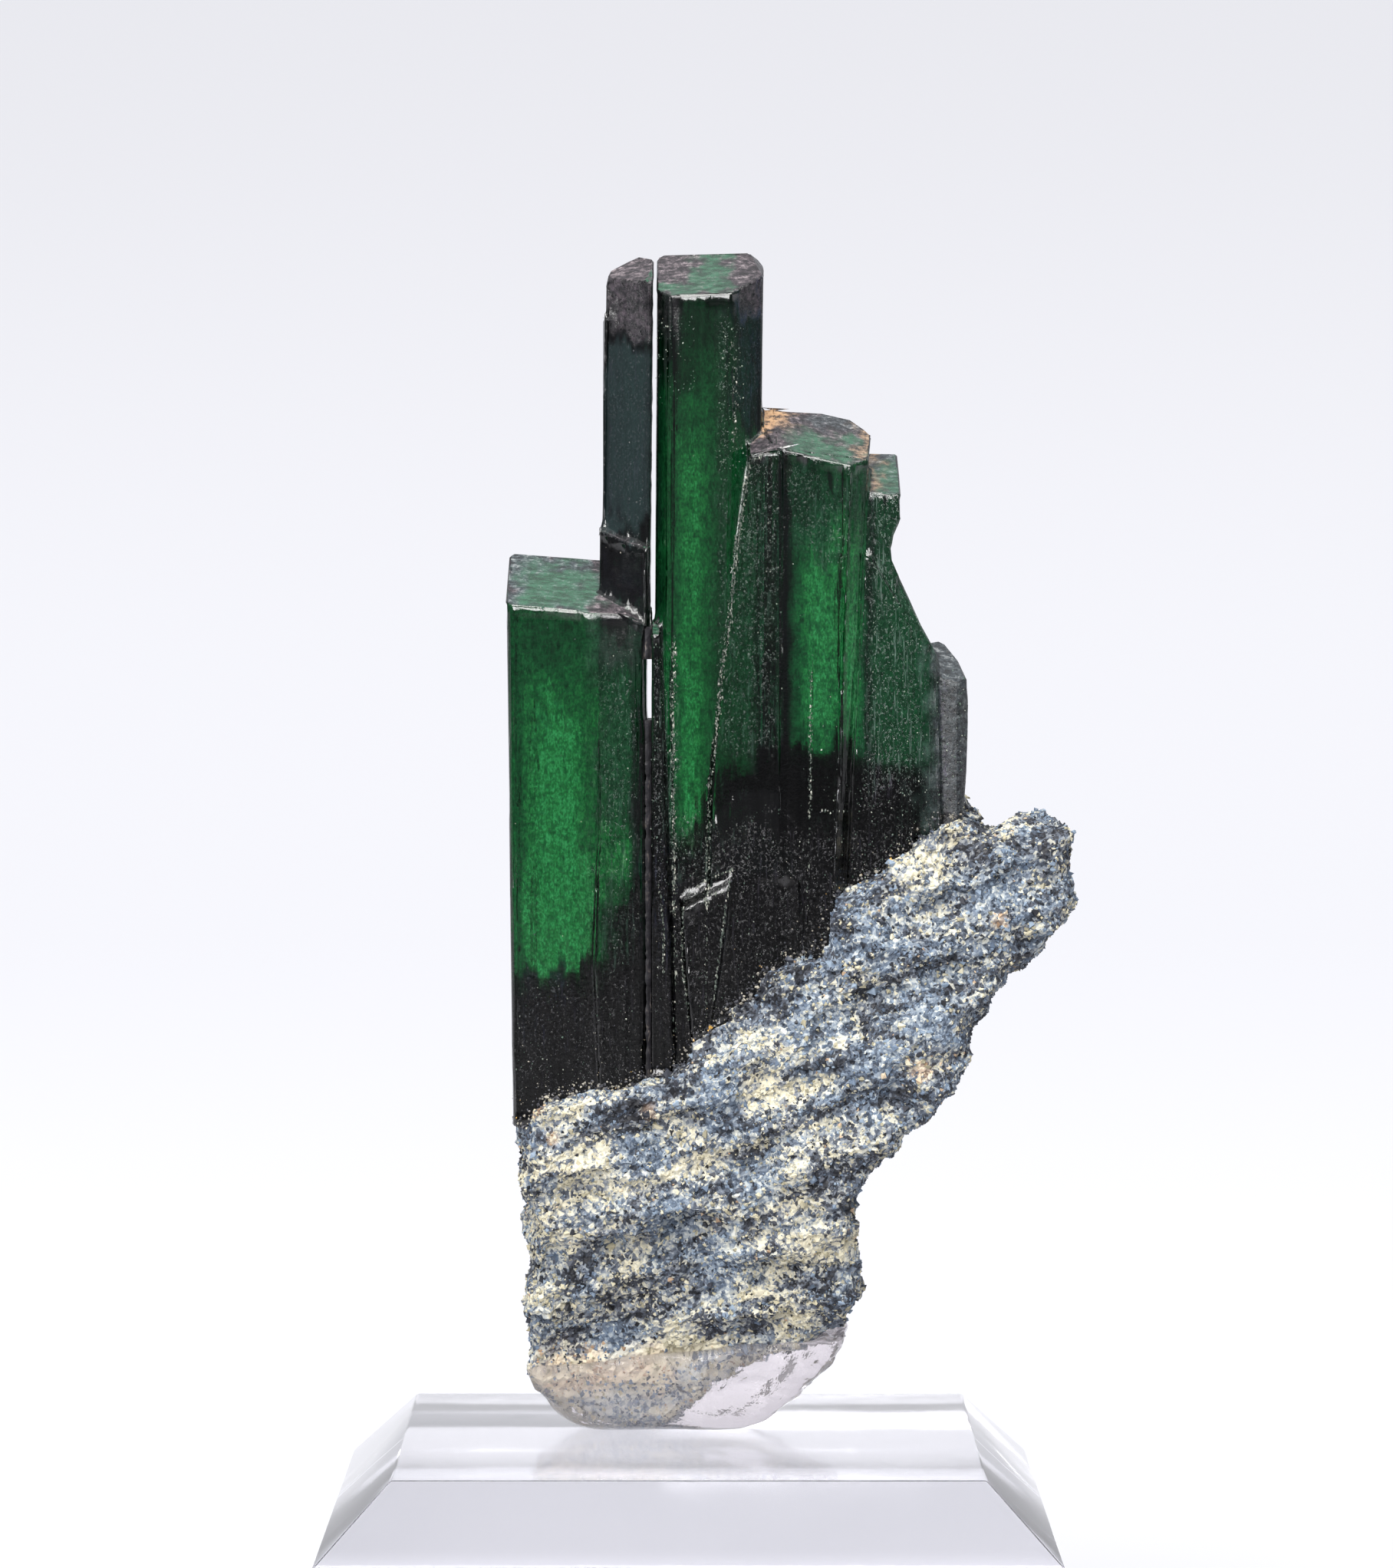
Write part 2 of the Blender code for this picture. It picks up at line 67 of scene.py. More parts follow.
class Graph:
    """A material's nodes, made by short calls."""

    def __init__(self, name):
        self.material = bpy.data.materials.new(name)
        self.material.use_nodes = True
        self.nodes = self.material.node_tree.nodes
        self.links = self.material.node_tree.links
        self.shader = self.nodes["Principled BSDF"]
        self.output = self.nodes["Material Output"]
        self.place = self.add("ShaderNodeTexCoord").outputs["Object"]

    def add(self, kind, **settings):
        node = self.nodes.new(kind)
        for key, value in settings.items():
            setattr(node, key, value)
        return node

    def put(self, value, socket):
        if isinstance(value, bpy.types.NodeSocket):
            self.links.new(value, socket)
        else:
            socket.default_value = value

    def set(self, name, value):
        self.put(value, self.shader.inputs[name])

    def math(self, operation, first, second=0.0, third=0.0, clamp=False):
        node = self.add("ShaderNodeMath", operation=operation, use_clamp=clamp)
        self.put(first, node.inputs[0])
        self.put(second, node.inputs[1])
        self.put(third, node.inputs[2])
        return node.outputs[0]

    def times(self, first, second):
        return self.math("MULTIPLY", first, second)

    def larger(self, first, second):
        return self.math("MAXIMUM", first, second)

    def other(self, value):
        """One less the value."""
        return self.math("SUBTRACT", 1.0, value)

    def stretched(self, scale, turn=(0.0, 0.0, 0.0)):
        node = self.add("ShaderNodeMapping")
        self.put(self.place, node.inputs["Vector"])
        node.inputs["Scale"].default_value = scale
        node.inputs["Rotation"].default_value = turn
        return node.outputs[0]

    def noise(self, scale, detail=3.0, rough=0.6, vector=None):
        """Noise whose scale is the number of waves in a millimetre."""
        node = self.add("ShaderNodeTexNoise")
        self.put(vector or self.place, node.inputs["Vector"])
        node.inputs["Scale"].default_value = scale / MM
        node.inputs["Detail"].default_value = detail
        node.inputs["Roughness"].default_value = rough
        return node.outputs["Fac"]

    def cells(self, scale, vector=None, feature="F1"):
        """Random cells: their distance and one random number for each."""
        node = self.add("ShaderNodeTexVoronoi", feature=feature)
        self.put(vector or self.place, node.inputs["Vector"])
        node.inputs["Scale"].default_value = scale / MM
        pick = self.add("ShaderNodeSeparateColor")
        self.put(node.outputs["Color"], pick.inputs[0])
        return node.outputs["Distance"], pick.outputs[0]

    def dots(self, scale, radius, share):
        """Round specks scattered at random."""
        distance, number = self.cells(scale)
        inside = self.step(distance, 0.6 * radius, radius, 1.0, 0.0)
        return self.times(inside, self.step(number, 1.0 - share, 1.02 - share))

    def step(self, value, low, high, to_low=0.0, to_high=1.0):
        node = self.add("ShaderNodeMapRange", interpolation_type="SMOOTHSTEP")
        self.put(value, node.inputs["Value"])
        self.put(low, node.inputs["From Min"])
        self.put(high, node.inputs["From Max"])
        self.put(to_low, node.inputs["To Min"])
        self.put(to_high, node.inputs["To Max"])
        return node.outputs["Result"]

    def mix(self, part, first, second):
        node = self.add("ShaderNodeMix", data_type="RGBA")
        self.put(part, node.inputs["Factor"])
        self.put(first, node.inputs[6])
        self.put(second, node.inputs[7])
        return node.outputs[2]

    def ramp(self, value, stops, interpolation="LINEAR"):
        node = self.add("ShaderNodeValToRGB")
        self.put(value, node.inputs["Fac"])
        node.color_ramp.interpolation = interpolation
        elements = node.color_ramp.elements
        while len(elements) < len(stops):
            elements.new(0.5)
        for element, (position, colour) in zip(elements, stops):
            element.position = position
            element.color = colour
        return node.outputs["Color"]

    def bump(self, height, distance, strength=1.0, before=None):
        node = self.add("ShaderNodeBump")
        self.put(height, node.inputs["Height"])
        node.inputs["Distance"].default_value = distance * MM
        node.inputs["Strength"].default_value = strength
        if before is not None:
            self.put(before, node.inputs["Normal"])
        return node.outputs["Normal"]

    def absorb(self, density, colour):
        node = self.add("ShaderNodeVolumeAbsorption")
        node.inputs["Density"].default_value = density
        node.inputs["Color"].default_value = (*colour, 1.0)
        self.links.new(node.outputs[0], self.output.inputs["Volume"])

    def place_in_mm(self):
        node = self.add("ShaderNodeSeparateXYZ")
        self.put(self.place, node.inputs[0])
        return [self.math("DIVIDE", output, MM) for output in node.outputs]

    def facing_up(self, low, high):
        node = self.add("ShaderNodeSeparateXYZ")
        self.put(self.add("ShaderNodeNewGeometry").outputs["Normal"], node.inputs[0])
        return self.step(node.outputs[2], low, high)

    def attribute(self, name):
        return self.add("ShaderNodeAttribute", attribute_name=name).outputs["Fac"]


def add_object(name, mesh, material=None):
    thing = bpy.data.objects.new(name, mesh)
    bpy.context.scene.collection.objects.link(thing)
    if material is not None:
        mesh.materials.clear()
        mesh.materials.append(material)
    return thing


def add_values(mesh, name, values):
    attribute = mesh.attributes.new(name, "FLOAT", "POINT")
    attribute.data.foreach_set("value", np.asarray(values, dtype=np.float32))


def mesh_corners(mesh):
    """The mesh's corners in millimetres."""
    corners = np.zeros(len(mesh.vertices) * 3)
    mesh.vertices.foreach_get("co", corners)
    return corners.reshape(-1, 3) / MM


def node_shape(node):
    """The node's solid as a welded bmesh."""
    shape = bmesh.new()
    shape.from_mesh(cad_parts[node].data)
    bmesh.ops.remove_doubles(shape, verts=shape.verts, dist=0.5e-6)
    return shape


def shape_to_object(name, shape, material, smooth_angle=None):
    mesh = bpy.data.meshes.new(name)
    shape.to_mesh(mesh)
    shape.free()
    if smooth_angle is not None:
        mesh.shade_smooth()
        mesh.set_sharp_from_angle(angle=math.radians(smooth_angle))
    return add_object(name, mesh, material)


def remeshed(thing, voxel, smoothing):
    """Voxel remesh with a little smoothing, applied."""
    modifier = thing.modifiers.new("voxels", "REMESH")
    modifier.mode = "VOXEL"
    modifier.voxel_size = voxel * MM
    smooth = thing.modifiers.new("smooth", "SMOOTH")
    smooth.factor = 0.5
    smooth.iterations = smoothing
    bpy.context.view_layer.update()
    graph = bpy.context.evaluated_depsgraph_get()
    mesh = bpy.data.meshes.new_from_object(thing.evaluated_get(graph), depsgraph=graph)
    thing.modifiers.clear()
    thing.data = mesh
    return thing


# Crystals

STRIATION_STEP = 0.09
CRUST_STEP = 0.16
ROW_STEP = 0.45
EDGE_ROUND = 0.12
SHARP_EDGE = 38.0
CRYSTAL_MERGE = 0.10


def slice_shape(shape, axis, low, high, step):
    """Cut loops across the whole shape at uneven steps along an axis."""
    normal = Vector((0.0, 0.0, 0.0))
    normal[axis] = 1.0
    place = low + step
    while place < high:
        point = normal * (place + 0.2 * step * noise.noise(Vector((place * 7.3, axis, 0.0)))) * MM
        everything = shape.verts[:] + shape.edges[:] + shape.faces[:]
        bmesh.ops.bisect_plane(shape, geom=everything, dist=1e-8, plane_co=point, plane_no=normal)
        place += step


def striation(across, height, seed):
    """Height of the fine upright ridges on a prism face, in millimetres."""
    slow = height * 0.035
    coarse = noise.noise(Vector((across * 1.1, slow, seed)))
    middle = noise.noise(Vector((across * 3.1, slow * 1.7, seed + 5.0)))
    fine = noise.noise(Vector((across * 8.0, slow * 3.0, seed + 9.0)))
    terrace = 0.02 * math.floor(3.0 * coarse)
    return terrace + 0.016 * middle + 0.010 * fine - 0.03


def crust(place):
    """How far the weathered end faces are eaten back, in millimetres."""
    lumps = noise.noise(place * 1.6)
    pits = max(0.0, noise.noise(place * 3.7 + Vector((5.0, 0.0, 2.0))) - 0.1)
    grit = noise.noise(place * 7.0)
    return -0.02 + 0.02 * lumps - 0.07 * pits + 0.012 * grit


# How far the left group's right edge stands nearer the slit, by height, in millimetres
SLIT_CLOSING = [
    (38.0, 0.35), (57.0, 0.29), (57.7, 0.14), (61.5, 0.14), (62.3, 0.28), (66.0, 0.25), (74.0, 0.20), (82.0, 0.12)]
SLIT_UNEVENNESS = 0.04


def interpolated(rows, value):
    return float(np.interp(value, [row[0] for row in rows], [row[1] for row in rows]))


# The right blade's end face: a corner in millimetres and its slopes to the right and to the back
RIGHT_END = (5.04, -4.5, 71.64)
RIGHT_END_SLOPES = (-0.226, 0.577)


def eased_steps(shape, node):
    """Level the small side piece with the right blade, and fade the low ends of the growth steps."""
    for vertex in shape.verts:
        x, y, z = vertex.co / MM
        if node == "left_crystal_group":
            if y > 0.5 and z < 45.0:
                y = 0.32
        else:
            level = RIGHT_END[2] + RIGHT_END_SLOPES[0] * (x - RIGHT_END[0]) + RIGHT_END_SLOPES[1] * (y - RIGHT_END[1])
            if 4.3 < x < 5.2 and level - 0.45 < z < level:
                z = level
            if 5.8 < x < 8.2 and 44.0 < z < 61.0 and y < -4.76:
                y = -4.75
            if 7.7 < x < 8.15 and 53.0 < z < 60.0 and y < -4.7:
                x = 8.0
            if -1.3 < x < 2.4 and 51.0 < z < 56.0 and y > 0.15:
                y = min(y, 0.62 + 0.162 * (x + 1.0))
                z -= 6.0
            if 5.0 < x < 11.4 and 44.0 < z < 72.0 and 0.4 < y < 0.65:
                y = 0.45
        vertex.co = Vector((x, y, z)) * MM


def crystal_piece(name, node, material):
    shape = node_shape(node)
    eased_steps(shape, node)
    bmesh.ops.remove_doubles(shape, verts=shape.verts, dist=CRYSTAL_MERGE * MM)
    bmesh.ops.dissolve_limit(shape, angle_limit=math.radians(1.0), verts=shape.verts, edges=shape.edges)
    sharp = [e for e in shape.edges if e.is_manifold and e.calc_face_angle(0.0) > math.radians(SHARP_EDGE)]
    bmesh.ops.bevel(
        shape, geom=sharp, offset=EDGE_ROUND * MM, segments=1, profile=0.5, affect="EDGES", clamp_overlap=False)
    low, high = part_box(node)
    slice_shape(shape, 0, low.x / MM, high.x / MM, STRIATION_STEP)
    slice_shape(shape, 1, low.y / MM, high.y / MM, CRUST_STEP)
    slice_shape(shape, 2, low.z / MM, high.z / MM, ROW_STEP)
    shape.normal_update()
    for vertex in shape.verts:
        place = vertex.co / MM
        normal = vertex.normal
        upright = math.hypot(normal.x, normal.y)
        if node == "left_crystal_group":
            share = min(1.0, max(0.0, (place.x + 3.2) / 0.6))
            uneven = SLIT_UNEVENNESS * noise.noise(Vector((0.0, 0.0, 2.0 * place.z)))
            vertex.co.x += share * (interpolated(SLIT_CLOSING, place.z) + uneven) * MM
        if abs(normal.z) > 0.35:
            if normal.z > 0.78 and all(face.normal.dot(normal) > 0.985 for face in vertex.link_faces):
                vertex.co = vertex.co + normal * crust(place) * MM
            continue
        facing = abs(normal.y) * striation(place.x, place.z, 1.0) + abs(normal.x) * striation(place.y, place.z, 3.0)
        facing *= max(0.0, 1.0 - abs(normal.z) / 0.3)
        outward = Vector((normal.x, normal.y, 0.0)) / max(upright, 0.1)
        vertex.co = vertex.co + outward * facing * MM
    bmesh.ops.triangulate(shape, faces=[f for f in shape.faces if len(f.verts) > 4])
    piece = shape_to_object(name, shape, material, smooth_angle=40.0)
    crystal_zones(piece.data)
    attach(piece, "root")
    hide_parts(node)
    return piece


# Clear windows from the front: left, right, bottom and top in millimetres, softness, and how clear each is
WINDOWS = [
    ((-9.8, -4.70, 43.6, 64.5), 0.25, 0.66), ((-9.0, -5.0, 45.0, 58.5), 1.40, 0.98),
    ((-8.9, -4.75, 43.8, 50.5), 0.35, 0.94), ((-5.0, -2.9, 48.2, 51.4), 0.45, 0.78),
    ((-5.0, -2.4, 44.0, 62.6), 0.5, 0.30), ((-5.0, -2.7, 51.0, 60.0), 0.5, 0.44),
    ((-2.2, 3.4, 51.2, 79.0), 0.5, 0.38), ((-1.5, 1.7, 51.0, 74.5), 0.6, 0.58), ((-0.9, 1.2, 51.5, 73.0), 1.0, 0.86),
    ((-0.6, 0.8, 50.8, 60.0), 0.4, 0.90), ((0.2, 1.9, 73.0, 79.6), 0.5, 0.42),
    ((1.4, 4.9, 55.0, 72.0), 0.7, 0.36), ((2.6, 4.6, 57.0, 68.5), 0.8, 0.46),
    ((5.2, 9.5, 55.2, 71.4), 0.3, 0.42), ((5.6, 9.2, 56.4, 66.4), 0.9, 0.88), ((7.2, 9.3, 58.0, 69.0), 0.6, 0.66),
    ((6.6, 8.9, 54.4, 57.0), 0.5, 0.66), ((9.3, 12.9, 54.2, 64.5), 0.8, 0.40), ((9.6, 11.0, 62.0, 69.6), 0.4, 0.36),
    ((-0.9, 1.2, 48.4, 51.4), 0.5, 0.34), ((6.2, 8.4, 51.8, 54.0), 0.6, 0.32), ((11.0, 13.2, 50.5, 56.0), 0.8, 0.24)]

# Places that stay dark in front of the windows: painted shade in the groove and along the edges of the blades, and
# darker at the foot of each
SHADES = [
    ((4.8, 5.35, 44.0, 70.6), 0.25, 0.85), ((2.2, 4.6, 72.6, 79.5), 0.6, 0.88), ((-2.2, -0.2, 75.4, 80.0), 0.7, 0.80),
    ((-2.2, 3.4, 76.6, 80.0), 0.9, 0.35), ((5.0, 7.2, 67.8, 71.2), 0.7, 0.35), ((-3.0, -2.0, 44.0, 58.0), 0.25, 0.6),
    ((9.25, 9.6, 55.0, 70.0), 0.15, 0.5), ((-9.8, -8.9, 43.0, 64.0), 0.6, 0.35), ((-9.8, -2.0, 60.0, 64.0), 1.8, 0.34),
    ((-7.6, -4.6, 60.6, 63.4), 0.8, 0.25), ((-2.2, -1.3, 51.0, 76.0), 0.5, 0.72)]

# Zones of the prism faces, from the front, that carry a dull crust
CRUSTS = [
    ((-4.6, -1.8, 78.2, 83.0), 0.8, 0.85), ((12.9, 15.4, 49.0, 61.2), 0.9, 0.80), ((2.4, 4.6, 79.0, 83.0), 0.7, 0.80),
    ((-2.2, -0.6, 77.8, 80.4), 0.6, 0.30), ((-4.9, -2.0, 60.0, 66.0), 0.8, 0.16), ((4.3, 5.3, 71.2, 74.0), 0.3, 0.9)]

# Zones with a thin haze of pale grit whose upright streaks are a painted highlight of striations catching light, and
# zones that look teal or inky blue
HAZES = [
    ((9.3, 13.4, 52.5, 69.6), 0.6, 1.0), ((-5.0, -2.4, 43.0, 62.0), 0.8, 0.35), ((1.6, 4.8, 55.0, 79.0), 0.8, 0.45),
    ((-1.9, -0.7, 50.0, 61.5), 0.3, 0.9), ((-9.4, -2.4, 37.5, 43.5), 1.2, 0.44), ((5.2, 9.4, 66.0, 71.0), 0.8, 0.35),
    ((-2.0, 12.0, 40.0, 52.0), 1.5, 0.50), ((-4.6, -1.9, 66.9, 77.6), 0.5, 0.40)]
TEAL = [((-4.5, -1.9, 67.2, 77.2), 0.5, 1.0)]
INKY = [((2.0, 3.9, 73.4, 79.6), 0.7, 1.0), ((-2.4, -0.9, 45.0, 53.0), 0.6, 0.8), ((-9.0, -5.6, 41.0, 43.8), 0.8, 0.6)]

# Bare green parts of the end faces, from above: left, right, front and back
BARE_ENDS = [
    ((-8.9, -4.9, -4.6, -0.6), 0.7, 1.0), ((0.2, 2.1, -4.4, -0.3), 0.5, 1.0), ((-1.3, 0.6, -4.4, -3.3), 0.4, 0.9),
    ((5.4, 8.7, -4.9, -2.6), 0.7, 1.0), ((10.0, 11.2, -3.8, -0.6), 0.4, 0.8), ((-2.2, -1.2, -5.0, -3.0), 0.1, 1.0)]

# Pale grey-green crust and tan stain on the end faces, from above
PALE_ENDS = [((-9.8, -4.9, -5.0, 0.6), 0.3, 0.8), ((9.0, 11.6, -4.0, 1.0), 0.3, 0.7), ((6.6, 9.6, -1.6, 1.0), 0.6, 0.6),
    ((12.4, 15.6, -3.4, 1.8), 0.4, 0.7)]
TAN_ENDS = [((3.2, 5.2, -2.4, 0.6), 0.7, 0.9), ((9.0, 10.0, -3.4, 0.8), 0.5, 0.5)]
TAN_LIMIT = 75.0
DARK_LIMIT = 55.0


def smooth_step(values, low, high):
    part = np.clip((values - low) / (high - low), 0.0, 1.0)
    return part * part * (3.0 - 2.0 * part)


def soft_boxes(first, second, boxes):
    """The greatest of soft-edged boxes in two directions, each with its softness and its strength."""
    total = np.zeros_like(first)
    for (left, right, low, high), soft, strength in boxes:
        side = smooth_step(first, left - soft, left + soft) - smooth_step(first, right - soft, right + soft)
        rise = smooth_step(second, low - soft, low + soft) - smooth_step(second, high - soft, high + soft)
        total = np.maximum(total, strength * side * rise)
    return total


def noise_values(places, scale, offset):
    scale = np.array(scale)
    return np.array([noise.noise(Vector(place * scale + offset)) for place in places])


def crystal_zones(mesh):
    """Write to each corner how clear, crusted, hazy or coloured the crystal is there; the clear windows carry painted
    shade at the groove and the blade edges.
    """
    places = mesh_corners(mesh)
    x, y, z = places.T
    around = x + 0.35 * noise_values(places, (0.55, 0.55, 0.55), 3.0)
    ragged = noise_values(places, (2.6, 2.6, 0.65), 40.0)
    height = z + 2.0 * noise_values(places, (0.7, 0.7, 0.7), 11.0) + 1.6 * ragged
    roam = noise_values(places, (1.1, 1.1, 1.1), 23.0) + 0.5 * noise_values(places, (2.7, 2.7, 2.7), 29.0)
    roam_x, roam_y = x + 1.1 * roam, y + 1.3 * roam
    below = z < TAN_LIMIT
    window = soft_boxes(around, height, WINDOWS) * (1.0 - soft_boxes(around, height, SHADES))
    add_values(mesh, "window", window)
    add_values(mesh, "side_crust", soft_boxes(roam_x, height, CRUSTS))
    add_values(mesh, "haze", soft_boxes(around, height, HAZES))
    add_values(mesh, "teal", soft_boxes(around, height, TEAL))
    add_values(mesh, "inky", soft_boxes(roam_x, height, INKY))
    add_values(mesh, "bare", soft_boxes(roam_x, roam_y, BARE_ENDS))
    add_values(mesh, "tan", soft_boxes(roam_x, roam_y, TAN_ENDS) * below)
    add_values(mesh, "pale", soft_boxes(roam_x, roam_y, PALE_ENDS) * below)


def crystal_material():
    graph = Graph("vivianite")
    height = graph.place_in_mm()[2]
    flecks = graph.noise(4.4, 3.0, 0.7, graph.stretched((1.0, 1.0, 0.42)))
    fine_flecks = graph.noise(9.5, 2.0, 0.7, graph.stretched((1.0, 1.0, 0.6)))
    lit = graph.times(graph.step(flecks, 0.32, 0.58, 0.52, 1.05), graph.step(fine_flecks, 0.36, 0.60, 0.56, 1.07))
    window = graph.attribute("window")
    tone = graph.times(window, lit)

    upward = graph.facing_up(0.62, 0.78)
    prism = graph.other(upward)
    end_face = graph.times(upward, graph.step(height, DARK_LIMIT, DARK_LIMIT + 0.5))
    crust_noise = graph.noise(4.6, 4.0, 0.75)
    streaks = graph.noise(3.4, 3.0, 0.7, graph.stretched((0.35, 1.0, 1.0)))
    # Painted highlight: upright pale streaks, standing for striations catching light, mixed into the grit haze.
    upright = graph.noise(1.0, 3.0, 0.75, graph.stretched((6.5, 6.5, 0.40)))
    side_crust = graph.times(graph.attribute("side_crust"), graph.step(crust_noise, 0.34, 0.56, 0.35, 1.0))
    grit = graph.step(graph.noise(8.0, 3.0, 0.8, graph.stretched((1.0, 1.0, 0.7))), 0.54, 0.72)
    grit = graph.larger(grit, graph.step(upright, 0.55, 0.70))
    haze = graph.times(graph.times(graph.attribute("haze"), grit), 0.55)
    teal = graph.attribute("teal")
    crusted = graph.larger(end_face, graph.times(prism, graph.larger(side_crust, haze)))

    dark = graph.ramp(graph.noise(0.30, 4.0, 0.7), [
        (0.35, (0.003, 0.006, 0.005, 1.0)), (0.52, (0.006, 0.004, 0.008, 1.0)), (0.70, (0.010, 0.008, 0.020, 1.0))])
    dark = graph.mix(graph.times(graph.attribute("inky"), graph.step(flecks, 0.32, 0.6)), dark, (0.024, 0.040, 0.110, 1.0))
    clear = graph.ramp(tone, [
        (0.0, (0.006, 0.012, 0.012, 1.0)), (0.22, (0.037, 0.083, 0.066, 1.0)), (0.5, (0.115, 0.265, 0.185, 1.0)),
        (0.75, (0.25, 0.53, 0.265, 1.0)), (1.0, (0.64, 0.98, 0.74, 1.0))])
    body = graph.mix(graph.step(tone, 0.02, 0.16), dark, clear)
    body = graph.mix(teal, body, graph.mix(flecks, (0.009, 0.015, 0.016, 1.0), (0.028, 0.052, 0.052, 1.0)))

    crust_tone = graph.math("MULTIPLY_ADD", graph.noise(3.2, 4.0, 0.8), 0.55, graph.times(streaks, 0.45))
    dull = graph.ramp(crust_tone, [
        (0.39, linear(11, 9, 13)), (0.46, linear(31, 26, 32)), (0.53, linear(70, 62, 67)),
        (0.62, linear(134, 124, 127))])
    pale_dull = graph.ramp(crust_tone, [
        (0.38, linear(14, 19, 22)), (0.46, linear(32, 43, 48)), (0.53, linear(64, 78, 82)),
        (0.62, linear(134, 142, 142))])
    dull = graph.mix(graph.times(side_crust, prism), dull, graph.mix(
        graph.step(crust_tone, 0.42, 0.62), linear(10, 8, 13), linear(74, 64, 74)))
    dull = graph.mix(graph.attribute("pale"), dull, pale_dull)
    bare = graph.times(graph.attribute("bare"), graph.step(crust_tone, 0.72, 0.48, 0.3, 1.0))
    bare = graph.times(bare, end_face)
    dull = graph.mix(bare, dull, graph.mix(graph.step(streaks, 0.35, 0.65), linear(14, 54, 34), linear(44, 96, 70)))
    stain = graph.times(graph.attribute("tan"), graph.step(crust_tone, 0.40, 0.56))
    dull = graph.mix(stain, dull, graph.mix(crust_noise, linear(160, 112, 70), linear(214, 180, 138)))
    grey_haze = graph.ramp(fine_flecks, [(0.35, linear(38, 34, 50)), (0.65, linear(98, 92, 116))])
    green_haze = graph.ramp(fine_flecks, [(0.35, linear(48, 70, 62)), (0.65, linear(114, 130, 120))])
    haze_tone = graph.mix(graph.step(window, 0.04, 0.25), grey_haze, green_haze)
    dull = graph.mix(graph.times(prism, graph.step(haze, 0.0, 0.1)), dull, haze_tone)
    graph.set("Base Color", graph.mix(crusted, body, dull))
    covered = graph.larger(graph.times(crusted, 0.92), graph.times(teal, 0.55))
    graph.set("Transmission Weight", graph.other(covered))
    rough = graph.math("MULTIPLY_ADD", graph.times(crusted, graph.other(graph.times(bare, 0.6))), 0.45, 0.05)
    graph.set("Roughness", graph.math("MULTIPLY_ADD", flecks, 0.10, rough))
    graph.set("IOR", 1.6)
    ridges = graph.bump(graph.noise(1.0, 2.0, 0.6, graph.stretched((7.0, 7.0, 0.12))), 0.015, 0.4)
    pitted = graph.bump(graph.noise(5.0, 2.0), 0.02, 0.3, before=ridges)
    graph.set("Normal", graph.bump(graph.times(crusted, graph.noise(6.0, 3.0)), 0.06, 0.8, before=pitted))
    graph.absorb(720.0, (0.16, 0.68, 0.41))
    return graph.material


# Sandstone

BED_TILT = math.radians(16.0)

# Places seen in the stone, with their reach in millimetres and the kind of grain that gathers there
BLUE, CREAM, DARK, RUST = range(4)
PATCHES = [
    ((12.5, 42.2), 1.9, BLUE), ((10.0, 45.7), 1.9, BLUE), ((9.5, 39.5), 1.8, BLUE), ((1.4, 37.8), 1.8, BLUE),
    ((3.3, 32.9), 1.7, BLUE), ((-1.1, 31.2), 1.8, BLUE), ((1.8, 28.6), 2.0, BLUE), ((-8.1, 25.4), 1.2, BLUE),
    ((-3.6, 24.1), 1.5, BLUE), ((16.5, 48.6), 2.3, BLUE), ((6.4, 41.5), 1.8, BLUE), ((-2.6, 34.6), 1.7, BLUE),
    ((4.5, 37.7), 1.9, CREAM), ((12.1, 49.6), 2.0, CREAM), ((13.8, 52.2), 1.5, CREAM), ((16.4, 52.2), 1.1, CREAM),
    ((-5.2, 34.0), 2.0, CREAM), ((0.6, 34.4), 1.6, CREAM), ((-7.2, 30.6), 1.6, CREAM), ((6.6, 29.9), 1.8, CREAM),
    ((-3.2, 28.0), 2.0, CREAM), ((-7.4, 26.9), 1.4, CREAM), ((5.6, 25.9), 1.6, CREAM), ((-0.4, 24.4), 1.6, CREAM),
    ((-6.9, 36.6), 1.3, CREAM), ((19.0, 50.4), 1.6, DARK), ((3.8, 42.8), 1.6, DARK), ((-0.4, 38.9), 1.4, DARK),
    ((7.4, 33.6), 1.6, DARK), ((-4.9, 29.0), 1.1, DARK), ((6.6, 27.6), 1.5, DARK), ((-2.7, 26.7), 1.8, DARK),
    ((1.1, 25.3), 1.0, DARK), ((3.5, 25.1), 0.9, DARK), ((15.4, 50.4), 1.6, DARK), ((9.5, 42.8), 0.8, DARK),
    ((-2.9, 36.6), 1.2, DARK), ((-6.6, 23.0), 1.8, RUST), ((-2.4, 22.9), 1.6, RUST), ((-4.6, 22.8), 1.4, RUST),
    ((-3.6, 20.8), 1.8, BLUE),
    ((12.1, 39.1), 0.7, RUST), ((16.4, 46.9), 0.6, RUST), ((-2.1, 36.9), 0.5, RUST), ((-8.1, 37.1), 0.5, RUST),
    ((-7.1, 35.5), 0.45, RUST), ((-5.8, 39.2), 0.45, RUST)]


def bedded(place):
    """A place turned to lie along and across the beds."""
    along = place.x * math.cos(BED_TILT) + place.z * math.sin(BED_TILT)
    across = place.z * math.cos(BED_TILT) - place.x * math.sin(BED_TILT)
    return along, across


